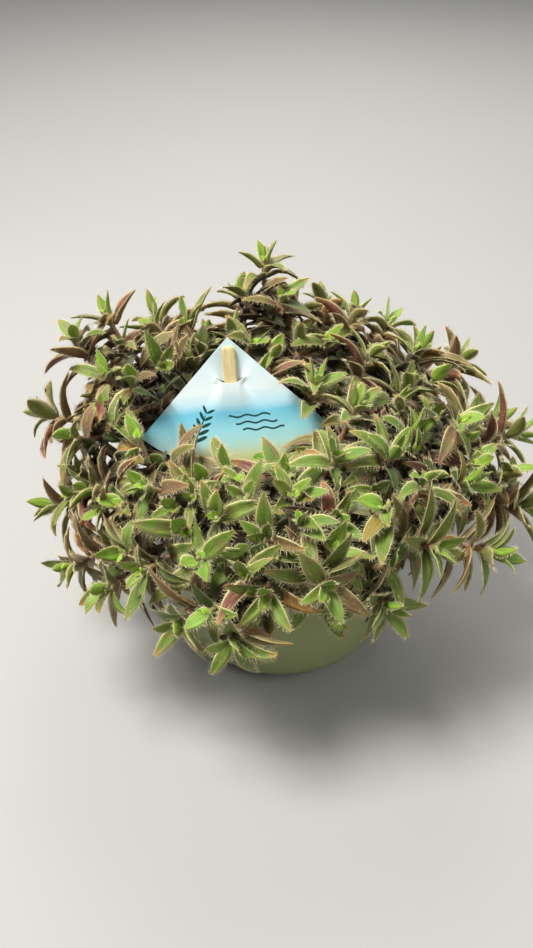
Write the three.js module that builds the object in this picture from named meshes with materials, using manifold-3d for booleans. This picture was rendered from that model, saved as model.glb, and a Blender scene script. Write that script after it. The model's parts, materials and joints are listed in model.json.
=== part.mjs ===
// A trailing houseplant with keeled, softly hairy leaves, standing in a plain tapered pot with a rounded foot.
// Leafy shoots rise from the soil, arch over the rim and nod at their ends.
// A quarter-round card, threaded on a flat wooden stick, stands among them.
// Millimetres, +Z up. The origin is the centre of the pot's flat foot, and -Y is the front.

import * as THREE from "three";
import { mergeVertices } from "three/addons/utils/BufferGeometryUtils.js";
import Module from "manifold-3d";

const wasm = await Module();
wasm.setup();

const { degToRad } = THREE.MathUtils;

// Pot
const POT_HEIGHT = 90;
const RIM_RADIUS = 70;
const WALL = 2.2;
const WALL_SLOPE = degToRad(9.5);
const FOOT_ROUNDING = 20;
const POT_SIDES = 36;

// Soil
const SOIL_TOP = POT_HEIGHT - 9;
const SOIL_MOUND = 4;
const SOIL_GAP = 0.35;

// Card, a quarter circle with its corner up, and a curved slit that lets the stick through
const CARD_RADIUS = 65;
const CARD_THICKNESS = 0.7;
const CARD_CORNER = 0.3;
const CARD_ROWS = 4;
// The two halves of the card's mesh run this far into each other, so that they join.
const CARD_OVERLAP = 0.2;
const CARD_FOOT = new THREE.Vector3(-22.5, 4, POT_HEIGHT + 8);
const CARD_LEAN = degToRad(21);
const CARD_TURN = degToRad(4);
const CARD_ROLL = degToRad(2.5);
const SLIT_HEIGHT = 43;
const SLIT_HALF_WIDTH = 7;
const SLIT_SAG = 2.5;
const LIP_LIFT = 1.75;
const LIP_REACH = 23;

// Stick, flat and pointed
const STICK_WIDTH = 6.4;
const STICK_THICKNESS = 1.8;
const STICK_ABOVE_SLIT = 18;
const STICK_BELOW_SLIT = 76;
const STICK_TILT = degToRad(4);
const FIT = 0.35;
// The lip keeps its full lift out to here on each side of the stick's middle.
const LIP_FLAT = 0.58 * STICK_WIDTH;

// Stems, square in section with their corners at these radii
const STEM_RADIUS = 2.1;
const STEM_TIP_RADIUS = 1.5;
const STEM_IN_SOIL = 7;
const BARE_STEPS = 3;
const FEET_LIMIT = 58;
const FEET_SPACING = 9.5;
// Shares of a stem's run over which it keeps its direction at its foot and at its tip.
const STEM_RISE = 0.42;
const STEM_RUN_OUT = 0.36;
// How far a stem that meets another may be led aside: millimetres, degrees, millimetres and a share of its run.
const STEM_DODGE = { foot: 4, angle: 7, height: 5, rise: 0.18 };

// Leaves, with the shares of their length where they have a section
const LEAF_LENGTH = 28;
const LEAF_WIDTH = 9;
const LEAF_KEEL = 0.5;
const LEAF_SECTIONS = [0, 0.16, 0.45, 0.76, 1];
const YOUNG_SECTIONS = [0, 0.3, 0.7, 1];
const YOUNG_LENGTH = 0.46;
const YOUNG_LEAVES = 3;
const LEAVES_PER_SHOOT = 9;
const LEAF_GAP = 0.4;
// Leaves stand further apart down the stem: the spacing of the first two, and what each next one adds twice.
const LEAF_SPACING = 1.7;
const SPACING_GROWTH = 0.22;
// Degrees between a leaf's base and its stem.
const YOUNG_DIVERGENCE = 13;
const FULL_DIVERGENCE = 75;
// Degrees that a leaf bends back over its length. It bends more on an upright stem, where its tip can hang down.
const YOUNG_CURL = 22;
const FULL_CURL = 62;
const CURL_BY_WEIGHT = 0.35;
// How far a leaf differs from the usual one of its age: degrees, radians of roll, and shares of the rest.
const STRAY = { divergence: 9, curl: 0.35, length: 0.1, width: 0.08, roll: 0.5 };
// How far a leaf that meets something may be moved: radians, and a share of its length.
const DODGE = { turn: 0.6, divergence: 0.8, curl: 0.9, length: 0.35, roll: 0.8 };
const FLOOR_GAP = 3;
const TRIES = 60;

// Each shoot's tip: compass angle in degrees from +X, reach from the pot's axis and height above the rim.
// A fourth number is the tip's nod from upright in degrees, where it isn't the usual one for that reach.
const SHOOTS = {
  crown: [[110, 34, 47], [55, 28, 47], [12, 36, 44], [-52, 38, 42], [-92, 30, 30], [-140, 36, 30]],
  hollow: [[-86, 46, 33], [-112, 48, 30], [-98, 66, 25], [-70, 62, 28], [-28, 56, 40], [-168, 60, 25]],
  shoulder: [
    [82, 62, 47], [112, 68, 49], [48, 68, 46], [24, 68, 42], [-10, 62, 41], [138, 64, 47],
    [166, 76, 32], [-150, 73, 30], [-134, 60, 30], [-56, 72, 24], [-6, 86, 35], [-22, 90, 30],
  ],
  backCrest: [
    [96, 92, 76, 8], [104, 94, 58, 35], [87, 98, 46], [77, 110, 42], [66, 98, 46], [56, 106, 42],
    [42, 98, 37], [35, 118, 31], [134, 98, 49], [128, 112, 46], [146, 108, 62, 22], [157, 112, 60, 12],
  ],
  rightTrail: [[5, 116, 24, 70], [-9, 121, 2], [-33, 112, 12], [-47, 96, 24], [-62, 95, 2], [20, 120, 8]],
  frontTrail: [[-79, 89, 18], [-95, 89, 14], [-103, 104, -2], [-118, 101, -6], [-133, 93, 8], [-141, 106, -4]],
  leftTrail: [[-153, 113, -6], [-169, 96, 14], [-177, 116, -8], [168, 121, 24, 75]],
  backTrail: [[100, 122, 2], [76, 124, 4], [122, 123, 4], [50, 124, 4]],
};

const UP = new THREE.Vector3(0, 0, 1);

const materials = {
  pot: new THREE.MeshStandardMaterial({ color: 0x7c8560, roughness: 0.5 }),
  soil: new THREE.MeshStandardMaterial({ color: 0x2a1d16, roughness: 1 }),
  card: new THREE.MeshStandardMaterial({ color: 0xc4ecf2, roughness: 0.45 }),
  stick: new THREE.MeshStandardMaterial({ color: 0xd9bd82, roughness: 0.7 }),
  green: new THREE.MeshStandardMaterial({ color: 0x6f9a45, roughness: 0.7 }),
  bronze: new THREE.MeshStandardMaterial({ color: 0x7d6a4c, roughness: 0.7 }),
};

// Numbers from 0 to 1 in an order fixed by the seed.
function seeded(seed) {
  let state = seed;
  return () => {
    state = (state + 0x6d2b79f5) | 0;
    let mixed = Math.imul(state ^ (state >>> 15), 1 | state);
    mixed = (mixed + Math.imul(mixed ^ (mixed >>> 7), 61 | mixed)) ^ mixed;
    return ((mixed ^ (mixed >>> 14)) >>> 0) / 4294967296;
  };
}

const random = seeded(11);
const either = (amount) => (2 * random() - 1) * amount;

function solidOf(geometry) {
  const plain = geometry.clone();
  plain.deleteAttribute("normal");
  plain.deleteAttribute("uv");
  const merged = mergeVertices(plain, 1e-3);
  const vertProperties = new Float32Array(merged.attributes.position.array);
  const triVerts = new Uint32Array(merged.index.array);
  return new wasm.Manifold(new wasm.Mesh({ numProp: 3, vertProperties, triVerts }));
}

function meshOf(name, solid, material) {
  const { vertProperties, triVerts } = solid.getMesh();
  const geometry = new THREE.BufferGeometry()
    .setAttribute("position", new THREE.BufferAttribute(new Float32Array(vertProperties), 3))
    .setIndex(new THREE.BufferAttribute(new Uint32Array(triVerts), 1));
  geometry.computeVertexNormals();
  const mesh = new THREE.Mesh(geometry, material);
  mesh.name = name;
  return mesh;
}

// Moves every vertex of a geometry to where the place function puts it.
function reshape(geometry, place) {
  const vertices = geometry.attributes.position;
  for (let i = 0; i < vertices.count; i++) {
    const moved = place(vertices.getX(i), vertices.getY(i), vertices.getZ(i));
    vertices.setXYZ(i, moved.x, moved.y, moved.z);
  }
  return geometry;
}

// The pot's outside radius at a height on its straight wall, less an inset measured square to the wall.
function wallRadius(height, inset) {
  return RIM_RADIUS - (POT_HEIGHT - height) * Math.tan(WALL_SLOPE) - inset / Math.cos(WALL_SLOPE);
}

// The rounded foot in half section, from the flat underside to where the straight wall starts.
function footArc(inset, steps) {
  const radius = FOOT_ROUNDING - inset;
  const centre = wallRadius(FOOT_ROUNDING, FOOT_ROUNDING);
  const points = [];
  for (let i = 0; i <= steps; i++) {
    const angle = -Math.PI / 2 + ((Math.PI / 2 - WALL_SLOPE) * i) / steps;
    points.push(
      new THREE.Vector2(centre + radius * Math.cos(angle), FOOT_ROUNDING + radius * Math.sin(angle)),
    );
  }
  return points;
}

function makePot() {
  const lip = WALL / 2;
  const lipCentre = wallRadius(POT_HEIGHT - lip, lip);
  const rim = [];
  for (let i = 0; i <= 4; i++) {
    const angle = (Math.PI * i) / 4;
    rim.push(new THREE.Vector2(lipCentre + lip * Math.cos(angle), POT_HEIGHT - lip + lip * Math.sin(angle)));
  }
  const outline = [
    new THREE.Vector2(0, 0),
    ...footArc(0, 4),
    ...rim,
    ...footArc(WALL, 3).reverse(),
    new THREE.Vector2(0, WALL),
  ];
  return solidOf(new THREE.LatheGeometry(outline, POT_SIDES).rotateX(Math.PI / 2));
}

// The soil's surface is a low mound with a slight unevenness.
function soilHeight(x, y) {
  const share = Math.min(1, Math.hypot(x, y) / RIM_RADIUS);
  return SOIL_TOP + SOIL_MOUND * Math.cos((Math.PI / 2) * share) + 0.4 * Math.sin(x / 7) * Math.cos(y / 8);
}

function makeSoil(holes) {
  const inset = WALL + SOIL_GAP;
  const edge = wallRadius(SOIL_TOP, inset) - SOIL_GAP;
  const outline = [new THREE.Vector2(0, inset), ...footArc(inset, 3)];
  for (const share of [1, 0.6, 0]) {
    outline.push(new THREE.Vector2(edge * share, SOIL_TOP));
  }
  const body = new THREE.LatheGeometry(outline, POT_SIDES).rotateX(Math.PI / 2);
  reshape(body, (x, y, z) => new THREE.Vector3(x, y, z > SOIL_TOP - 1 ? soilHeight(x, y) : z));
  return solidOf(body).subtract(wasm.Manifold.union(holes));
}

// The card's frame has x across it, y up it from the lowest point of its round edge, and z out of its front.
const cardFrame = new THREE.Matrix4()
  .makeTranslation(CARD_FOOT.x, CARD_FOOT.y, CARD_FOOT.z)
  .multiply(new THREE.Matrix4().makeRotationZ(CARD_TURN))
  .multiply(new THREE.Matrix4().makeRotationX(Math.PI / 2 - CARD_LEAN))
  .multiply(new THREE.Matrix4().makeRotationZ(CARD_ROLL));
const stickFrame = cardFrame.clone()
  .multiply(new THREE.Matrix4().makeTranslation(0, SLIT_HEIGHT, 0))
  .multiply(new THREE.Matrix4().makeRotationX(STICK_TILT));

// The stick pushes the card's lip back above the slit and forward below it. Both ease out along the card.
function lipLift(x, aboveSlit) {
  const beside = (SLIT_HALF_WIDTH - Math.abs(x)) / (SLIT_HALF_WIDTH - LIP_FLAT);
  return LIP_LIFT * THREE.MathUtils.clamp(beside, 0, 1) * Math.max(0, 1 - Math.abs(aboveSlit) / LIP_REACH);
}

// The card above or below its slit, in columns that run from the slit to the corner or to the round edge.
function cardPart(isUpper) {
  const columns = [0, LIP_FLAT, SLIT_HALF_WIDTH, 10, 14, CARD_RADIUS - SLIT_HEIGHT - SLIT_SAG];
  const sheet = new THREE.BoxGeometry(1, 1, 1, 2 * (columns.length - 1), CARD_ROWS, 1);
  return reshape(sheet, (x, y, z) => {
    const column = columns[Math.round(Math.abs(2 * x) * (columns.length - 1))];
    const atSlit = new THREE.Vector2(
      Math.sign(x) * column,
      SLIT_HEIGHT + SLIT_SAG * Math.min(1, column / SLIT_HALF_WIDTH) ** 2,
    );
    const turn = (Math.PI / 2) * x;
    const atEdge = new THREE.Vector2(CARD_RADIUS * Math.sin(turn), CARD_RADIUS * (1 - Math.cos(turn)));
    const atCorner = new THREE.Vector2(CARD_CORNER * x, CARD_RADIUS);
    const spot = isUpper
      ? atSlit.clone().setY(atSlit.y - CARD_OVERLAP).lerp(atCorner, y + 0.5)
      : atEdge.lerp(atSlit, y + 0.5);
    const lift = lipLift(spot.x, spot.y - SLIT_HEIGHT);
    return new THREE.Vector3(spot.x, spot.y, z * CARD_THICKNESS + (isUpper ? -lift : lift));
  });
}

function makeCard() {
  const upper = solidOf(cardPart(true).applyMatrix4(cardFrame));
  return upper.add(solidOf(cardPart(false).applyMatrix4(cardFrame)));
}

// The stick comes up behind the card, through its slit, and ends in front of it. Its hole is grown on every side.
function makeStick(clearance) {
  const half = STICK_WIDTH / 2 + clearance;
  const depth = STICK_THICKNESS + 2 * clearance;
  const bottom = -STICK_BELOW_SLIT - clearance;
  const outline = new THREE.Shape([
    new THREE.Vector2(-half, bottom + 2 * STICK_WIDTH),
    new THREE.Vector2(-0.3 * half, bottom),
    new THREE.Vector2(0.3 * half, bottom),
    new THREE.Vector2(half, bottom + 2 * STICK_WIDTH),
    new THREE.Vector2(half, STICK_ABOVE_SLIT - 1),
    new THREE.Vector2(half - 1, STICK_ABOVE_SLIT),
    new THREE.Vector2(1 - half, STICK_ABOVE_SLIT),
    new THREE.Vector2(-half, STICK_ABOVE_SLIT - 1),
  ]);
  const body = new THREE.ExtrudeGeometry(outline, { depth, bevelEnabled: false }).translate(0, 0, -depth / 2);
  return solidOf(body.applyMatrix4(stickFrame));
}

// Two sides square to a stem's direction, the first of them level.
function sidesAt(tangent, level) {
  const first = level.clone().addScaledVector(tangent, -level.dot(tangent)).normalize();
  return { first, second: new THREE.Vector3().crossVectors(tangent, first) };
}

function directionAt(tangent, level, turn) {
  const { first, second } = sidesAt(tangent, level);
  return first.multiplyScalar(Math.cos(turn)).addScaledVector(second, Math.sin(turn));
}

// A stem's four corners, counter-clockwise as seen from its tip. The side at the turn lies between the first two.
function ringAt(centre, tangent, level, turn, radius) {
  return [-1, 1, 3, 5].map((eighth) =>
    centre.clone().addScaledVector(directionAt(tangent, level, turn + (eighth * Math.PI) / 4), radius),
  );
}

// A leaf's width along its length as a share of its full width, which it has at about two fifths.
const widthShare = (t) => 1.8 * (t + 0.03) ** 0.42 * (1 - t ** 1.7) ** 0.95;

// A leaf's spine leaves its stem at its divergence and bends on outwards by its curl.
// The blade is flat above, between two edges, and has a keel below. Its corners are right edge, left edge and keel.
function leafSection(leaf, t, grow) {
  const turn = leaf.divergence + leaf.curl * t;
  const bend = leaf.length / leaf.curl;
  const heading = leaf.axis.clone().multiplyScalar(Math.cos(turn)).addScaledVector(leaf.side, Math.sin(turn));
  const spine = leaf.root.clone()
    .addScaledVector(leaf.axis, bend * (Math.sin(turn) - Math.sin(leaf.divergence)))
    .addScaledVector(leaf.side, bend * (Math.cos(leaf.divergence) - Math.cos(turn)));
  if (t === 1) return [spine.addScaledVector(heading, grow)];
  const across = new THREE.Vector3().crossVectors(leaf.axis, leaf.side).applyAxisAngle(heading, leaf.roll * t);
  const below = new THREE.Vector3().crossVectors(across, heading);
  const width = leaf.width * widthShare(t);
  const top = spine.clone().addScaledVector(below, -grow);
  return [
    top.clone().addScaledVector(across, width / 2 + grow),
    top.clone().addScaledVector(across, -width / 2 - grow),
    spine.clone().addScaledVector(below, 0.2 * width + LEAF_KEEL + grow),
  ];
}

// A leaf's blade by itself, from its first section off the stem to its tip.
function bladeSolid(leaf, grow) {
  const sections = leaf.sections.slice(1).map((t) => leafSection(leaf, t, grow));
  const steps = sections.length - 1;
  const blade = new THREE.ConeGeometry(1, 1, 3, steps);
  return solidOf(
    reshape(blade, (x, y, z) => {
      const [right, left, keel] = sections[Math.round((y + 0.5) * steps)];
      if (!keel) return right;
      if (Math.hypot(x, z) < 1e-6) return right.clone().add(left).add(keel).divideScalar(3);
      if (z > 0) return keel;
      return x > 0 ? right : left;
    }),
  );
}

// A stem from its rings, with each leaf drawn out of the side of the stem between its two rings.
function shootSolid(rings, leaves, grow = 0) {
  const corners = [];
  const triangles = [];
  const place = (points) => points.map((point) => corners.push(point.x, point.y, point.z) / 3 - 1);
  const face = (a, b, c, d) => triangles.push(a, b, c, a, c, d);

  function drawLeaf(leaf, [lowLeft, lowRight, highRight, highLeft]) {
    const sections = leaf.sections.slice(1, -1).map((t) => place(leafSection(leaf, t, grow)));
    const [tip] = place(leafSection(leaf, 1, grow));
    let [right, left, keel] = sections[0];
    face(highLeft, left, right, highRight);
    face(highRight, right, keel, lowRight);
    face(highLeft, lowLeft, keel, left);
    triangles.push(lowLeft, lowRight, keel);
    for (const [nextRight, nextLeft, nextKeel] of sections.slice(1)) {
      face(left, nextLeft, nextRight, right);
      face(right, nextRight, nextKeel, keel);
      face(left, keel, nextKeel, nextLeft);
      [right, left, keel] = [nextRight, nextLeft, nextKeel];
    }
    triangles.push(left, tip, right, right, tip, keel, left, keel, tip);
  }

  const stem = rings.map(place);
  const [foot, tip] = [stem[0], stem[stem.length - 1]];
  face(foot[3], foot[2], foot[1], foot[0]);
  face(...tip);
  for (let i = 0; i < stem.length - 1; i++) {
    for (let side = 0; side < 4; side++) {
      const next = (side + 1) % 4;
      const patch = [stem[i][side], stem[i][next], stem[i + 1][next], stem[i + 1][side]];
      const leaf = leaves.find((one) => one.ring === i && one.stemSide === side);
      if (leaf) drawLeaf(leaf, patch);
      else face(...patch);
    }
  }
  const geometry = new THREE.BufferGeometry()
    .setAttribute("position", new THREE.Float32BufferAttribute(corners, 3))
    .setIndex(triangles);
  return solidOf(geometry);
}

// A stem rises straight out of its hole and then arches to its tip.
function stemPath(tip, foot, rise) {
  const angle = degToRad(tip.angle);
  const nod = degToRad(tip.nod);
  const outward = new THREE.Vector3(Math.cos(angle), Math.sin(angle), 0);
  const end = outward.clone().multiplyScalar(tip.reach).setZ(POT_HEIGHT + tip.height);
  const heading = outward.clone().multiplyScalar(Math.sin(nod)).addScaledVector(UP, Math.cos(nod));
  const start = new THREE.Vector3(foot.x, foot.y, soilHeight(foot.x, foot.y) + 2);
  const run = start.distanceTo(end);
  const arch = new THREE.CubicBezierCurve3(
    start,
    start.clone().addScaledVector(UP, run * rise),
    end.clone().addScaledVector(heading, -run * STEM_RUN_OUT),
    end,
  );
  const bottom = start.clone().setZ(start.z - 2 - STEM_IN_SOIL);
  const level = new THREE.Vector3().crossVectors(UP, outward);
  return { arch, bottom, level, length: arch.getLength() };
}

// How far below the tip the stem's ring above a leaf lies.
const belowTip = (number) => LEAF_SPACING * number + SPACING_GROWTH * number ** 2;

function radiusAt(along) {
  return STEM_RADIUS + (STEM_TIP_RADIUS - STEM_RADIUS) * along;
}

// The stem's rings: one at its foot, a few up its bare part, and one above and below each leaf.
function stemRings(shoot, grow) {
  const { path, leafCount, twist, drift } = shoot;
  const lowest = 1 - belowTip(leafCount) / path.length;
  const rings = [ringAt(path.bottom, UP, path.level, twist + leafCount * drift, STEM_RADIUS + grow)];
  const addRing = (along, number) => {
    const centre = path.arch.getPointAt(along);
    const tangent = path.arch.getTangentAt(along);
    rings.push(ringAt(centre, tangent, path.level, twist + number * drift, radiusAt(along) + grow));
  };
  for (let step = 0; step < BARE_STEPS; step++) {
    addRing((lowest * step) / BARE_STEPS, leafCount);
  }
  for (let number = leafCount; number >= 0; number--) {
    addRing(1 - belowTip(number) / path.length, number);
  }
  return rings;
}

// One leaf with the short length of stem that it is drawn out of.
function leafSolid(shoot, leaf, grow) {
  const rings = stemRings(shoot, grow).slice(leaf.ring, leaf.ring + 2);
  return shootSolid(rings, [{ ...leaf, ring: 0 }], grow);
}

function makeHole({ path, leafCount, twist, drift }) {
  const turn = twist + leafCount * drift;
  const low = path.bottom.clone().setZ(path.bottom.z - FIT);
  const high = path.bottom.clone().setZ(path.bottom.z + STEM_IN_SOIL + 2);
  const radius = STEM_RADIUS + FIT * Math.SQRT2;
  return shootSolid([low, high].map((centre) => ringAt(centre, UP, path.level, turn, radius)), []);
}

// Solids already in place, each with its owner and box, against which a new one is tried.
const placed = [];

function boxOf(solid) {
  const { min, max } = solid.boundingBox();
  return new THREE.Box3(new THREE.Vector3(...min), new THREE.Vector3(...max));
}

function settle(solid, owner) {
  placed.push({ solid, owner, box: boxOf(solid) });
}

function isApart(one, other) {
  const common = one.intersect(other);
  const apart = common.isEmpty();
  common.delete();
  return apart;
}

function isClear(tried, ignored) {
  const box = boxOf(tried);
  return placed
    .filter((other) => other.owner !== ignored && other.box.intersectsBox(box))
    .every((other) => isApart(tried, other.solid));
}

function usualNod(reach, height) {
  return 18 + 0.45 * (reach - 30) + 0.5 * Math.max(0, 40 - height);
}

function readShoots() {
  return Object.values(SHOOTS).flat().map(([angle, reach, height, nod = usualNod(reach, height)]) => {
    const share = 0.3 + 0.7 * Math.min(1, reach / 110);
    const radius = FEET_LIMIT * share * Math.sqrt(0.35 + 0.65 * random());
    const turned = degToRad(angle + either(8));
    const foot = new THREE.Vector2(radius * Math.cos(turned), radius * Math.sin(turned));
    const twist = Math.PI * random();
    const drift = degToRad(14 + 10 * random());
    return { tip: { angle, reach, height, nod }, foot, twist, drift, leaves: [] };
  });
}

// Stem feet are pushed apart until no two are closer than their spacing, and kept clear of the stick.
function spreadFeet(shoots) {
  const stickFoot = new THREE.Vector3(0, -0.85 * STICK_BELOW_SLIT, 0).applyMatrix4(stickFrame);
  const fixed = new THREE.Vector2(stickFoot.x, stickFoot.y);
  for (let round = 0; round < 60; round++) {
    for (const shoot of shoots) {
      for (const other of [fixed, ...shoots.filter((one) => one !== shoot).map((one) => one.foot)]) {
        const apart = shoot.foot.clone().sub(other);
        const short = FEET_SPACING - apart.length();
        if (short > 0) shoot.foot.add(apart.setLength(short / 2));
      }
      shoot.foot.clampLength(0, FEET_LIMIT);
    }
  }
}

// A stem that meets another is led from a foot and over an arch that differ a little more with each try.
function growStem(shoot) {
  for (let attempt = 0; attempt < TRIES; attempt++) {
    const stray = attempt / TRIES;
    const aside = new THREE.Vector2(either(STEM_DODGE.foot), either(STEM_DODGE.foot));
    const foot = shoot.foot.clone().addScaledVector(aside, stray);
    const tip = { ...shoot.tip };
    tip.angle += either(STEM_DODGE.angle * stray);
    tip.height += either(STEM_DODGE.height * stray);
    shoot.path = stemPath(tip, foot, STEM_RISE + either(STEM_DODGE.rise * stray));
    shoot.leafCount = LEAVES_PER_SHOOT;
    while (belowTip(shoot.leafCount) > shoot.path.length - 8) shoot.leafCount--;
    if (isClear(shootSolid(stemRings(shoot, 0.5), []), "soil")) return true;
  }
  return false;
}

// Leaves alternate in two ranks that drift slowly round the stem. Number 0 is the youngest, at the tip.
function wantedLeaf(shoot, number) {
  const { path, leafCount, twist, drift } = shoot;
  const along = 1 - (belowTip(number) + belowTip(number + 1)) / 2 / path.length;
  const growth = Math.min(1, YOUNG_LENGTH + 0.17 * number);
  const axis = path.arch.getTangentAt(along);
  const divergence = THREE.MathUtils.lerp(YOUNG_DIVERGENCE, FULL_DIVERGENCE, 1 - Math.exp(-number / 3));
  const curl = THREE.MathUtils.lerp(YOUNG_CURL, FULL_CURL, 1 - Math.exp(-number / 2));
  return {
    along,
    ring: BARE_STEPS + leafCount - number,
    stemSide: number % 2 ? 2 : 0,
    turn: twist + (number + 0.5) * drift + (number % 2) * Math.PI,
    axis,
    divergence: degToRad(divergence + either(STRAY.divergence)),
    curl: degToRad(curl) * (1 + CURL_BY_WEIGHT * axis.z) * (1 + either(STRAY.curl)),
    length: LEAF_LENGTH * growth * (1 + either(STRAY.length)),
    width: LEAF_WIDTH * Math.sqrt(growth) * (1 + either(STRAY.width)),
    roll: either(STRAY.roll),
    sections: number < YOUNG_LEAVES ? YOUNG_SECTIONS : LEAF_SECTIONS,
  };
}

// A leaf that meets something is turned, bent and shortened a little more with each try, or else isn't grown.
function growLeaf(shoot, number) {
  const wanted = wantedLeaf(shoot, number);
  const centre = shoot.path.arch.getPointAt(wanted.along);
  for (let attempt = 0; attempt < TRIES; attempt++) {
    const stray = attempt / TRIES;
    const leaf = { ...wanted };
    leaf.side = directionAt(leaf.axis, shoot.path.level, leaf.turn + either(DODGE.turn * stray));
    leaf.root = centre.clone().addScaledVector(leaf.side, 0.7 * radiusAt(leaf.along));
    leaf.divergence = Math.max(0.15, leaf.divergence + either(DODGE.divergence * stray));
    leaf.curl = Math.max(0.1, leaf.curl + either(DODGE.curl * stray));
    leaf.length *= 1 - DODGE.length * stray * random();
    leaf.roll += either(DODGE.roll * stray);
    const grown = leafSolid(shoot, leaf, LEAF_GAP);
    const blade = bladeSolid(leaf, 0.15);
    const whole = leafSolid(shoot, leaf, 0);
    const isGood =
      boxOf(grown).min.z > FLOOR_GAP &&
      isClear(grown, shoot) &&
      isApart(blade, shoot.stem) &&
      shoot.leaves.every((other) => isApart(blade, other.whole) && isApart(other.blade, whole));
    if (isGood) {
      shoot.leaves.push({ ...leaf, blade, whole });
      settle(whole, shoot);
      return;
    }
  }
}

const pot = makePot();
const card = makeCard();
const stick = makeStick(0);
settle(pot, "pot");
settle(makeSoil([makeStick(FIT)]), "soil");
settle(card, "card");
settle(stick, "stick");

const wantedShoots = readShoots();
spreadFeet(wantedShoots);
const shoots = wantedShoots.filter((shoot) => {
  if (!growStem(shoot)) return false;
  shoot.stem = shootSolid(stemRings(shoot, 0), []);
  settle(shoot.stem, shoot);
  return true;
});
for (let number = 0; number < LEAVES_PER_SHOOT; number++) {
  for (const shoot of shoots) {
    if (number < shoot.leafCount) growLeaf(shoot, number);
  }
}
const soil = makeSoil([makeStick(FIT), ...shoots.map(makeHole)]);

const plant = new THREE.Group();
plant.add(meshOf("pot", pot, materials.pot));
plant.add(meshOf("soil", soil, materials.soil));
plant.add(meshOf("tag_card", card, materials.card));
plant.add(meshOf("tag_stick", stick, materials.stick));
shoots.forEach((shoot, index) => {
  const name = "shoot_" + String(index + 1).padStart(2, "0");
  const isShaded = shoot.tip.angle > 15 && shoot.tip.angle < 165;
  const whole = shootSolid(stemRings(shoot, 0), shoot.leaves);
  plant.add(meshOf(name, whole, isShaded ? materials.bronze : materials.green));
});

export default plant;
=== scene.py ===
"""Looks of a potted cyanotis: a plastic pot of trailing leafy stems, with a paper card on a wooden stick."""

import json
import math

import bmesh
import bpy
import numpy as np
from mathutils import Matrix, Vector
from mathutils.kdtree import KDTree

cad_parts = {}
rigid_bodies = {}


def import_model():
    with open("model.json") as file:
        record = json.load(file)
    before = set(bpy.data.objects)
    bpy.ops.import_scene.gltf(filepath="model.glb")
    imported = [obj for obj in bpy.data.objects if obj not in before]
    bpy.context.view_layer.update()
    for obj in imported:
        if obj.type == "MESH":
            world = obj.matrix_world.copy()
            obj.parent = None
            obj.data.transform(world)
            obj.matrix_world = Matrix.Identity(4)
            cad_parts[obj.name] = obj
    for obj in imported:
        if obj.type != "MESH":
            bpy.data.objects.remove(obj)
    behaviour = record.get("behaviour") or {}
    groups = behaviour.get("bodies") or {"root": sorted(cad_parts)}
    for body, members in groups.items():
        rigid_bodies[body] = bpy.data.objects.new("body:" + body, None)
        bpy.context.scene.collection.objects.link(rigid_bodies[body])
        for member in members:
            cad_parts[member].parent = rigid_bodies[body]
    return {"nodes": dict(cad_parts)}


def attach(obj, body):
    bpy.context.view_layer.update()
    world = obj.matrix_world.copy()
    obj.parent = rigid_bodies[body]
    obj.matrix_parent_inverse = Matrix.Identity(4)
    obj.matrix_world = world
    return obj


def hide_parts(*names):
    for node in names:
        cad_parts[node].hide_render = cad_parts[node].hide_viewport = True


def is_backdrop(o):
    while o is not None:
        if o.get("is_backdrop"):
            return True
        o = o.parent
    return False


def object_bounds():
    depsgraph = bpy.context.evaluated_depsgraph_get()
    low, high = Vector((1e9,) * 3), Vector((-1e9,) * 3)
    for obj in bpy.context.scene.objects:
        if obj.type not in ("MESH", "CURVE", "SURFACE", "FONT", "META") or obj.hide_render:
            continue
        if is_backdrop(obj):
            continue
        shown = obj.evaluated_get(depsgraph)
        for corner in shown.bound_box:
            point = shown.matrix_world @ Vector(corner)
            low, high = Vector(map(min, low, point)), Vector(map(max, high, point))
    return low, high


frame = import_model()
cad_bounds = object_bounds()

MM = 0.001
rng = np.random.default_rng(11)

# The pot, as in the CAD model.
RIM_RADIUS = 70 * MM
POT_HEIGHT = 90 * MM
WALL = 2.2 * MM
WALL_SLOPE = math.radians(9.5)
FOOT_ROUNDING = 20 * MM
FOOT_RECESS = 0.6 * MM
POT_STEPS = 160

# The soil, as in the CAD model.
SOIL_TOP = POT_HEIGHT - 9 * MM
SOIL_MOUND = 4 * MM
SOIL_GAP = 0.35 * MM
SOIL_ROUGHNESS = 0.35 * MM
SOIL_RINGS = 46
SOIL_STEPS = 120
CRUMBS = 240
CRUMB_SIZES = (0.6, 2.0)

# The card and its stick, as in the CAD model, but with the card's real thickness.
CARD_RADIUS = 65 * MM
CARD_THICKNESS = 0.45 * MM
CARD_FOOT = Vector((-22.5, 4, 98)) * MM
CARD_LEAN = math.radians(21)
CARD_TURN = math.radians(4)
CARD_ROLL = math.radians(2.5)
SLIT_HEIGHT = 43 * MM
SLIT_HALF_WIDTH = 7 * MM
SLIT_SAG = 2.5 * MM
LIP_LIFT = 1.75 * MM
LIP_REACH = 23 * MM
LIP_SPREAD = 0.7
STICK_WIDTH = 6.4 * MM
STICK_THICKNESS = 1.8 * MM
STICK_ABOVE_SLIT = 18 * MM
STICK_BELOW_SLIT = 76 * MM
STICK_TILT = math.radians(4)
STICK_ROUNDING = 2.2 * MM
STICK_SIDES = 24
INK = "1c4a42"
RIPPLE_HALF_WIDTH = 0.0075
# Leaves leave the card free from this far above its round edge.
CARD_SHOWN_FROM = 1.5 * MM

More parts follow.
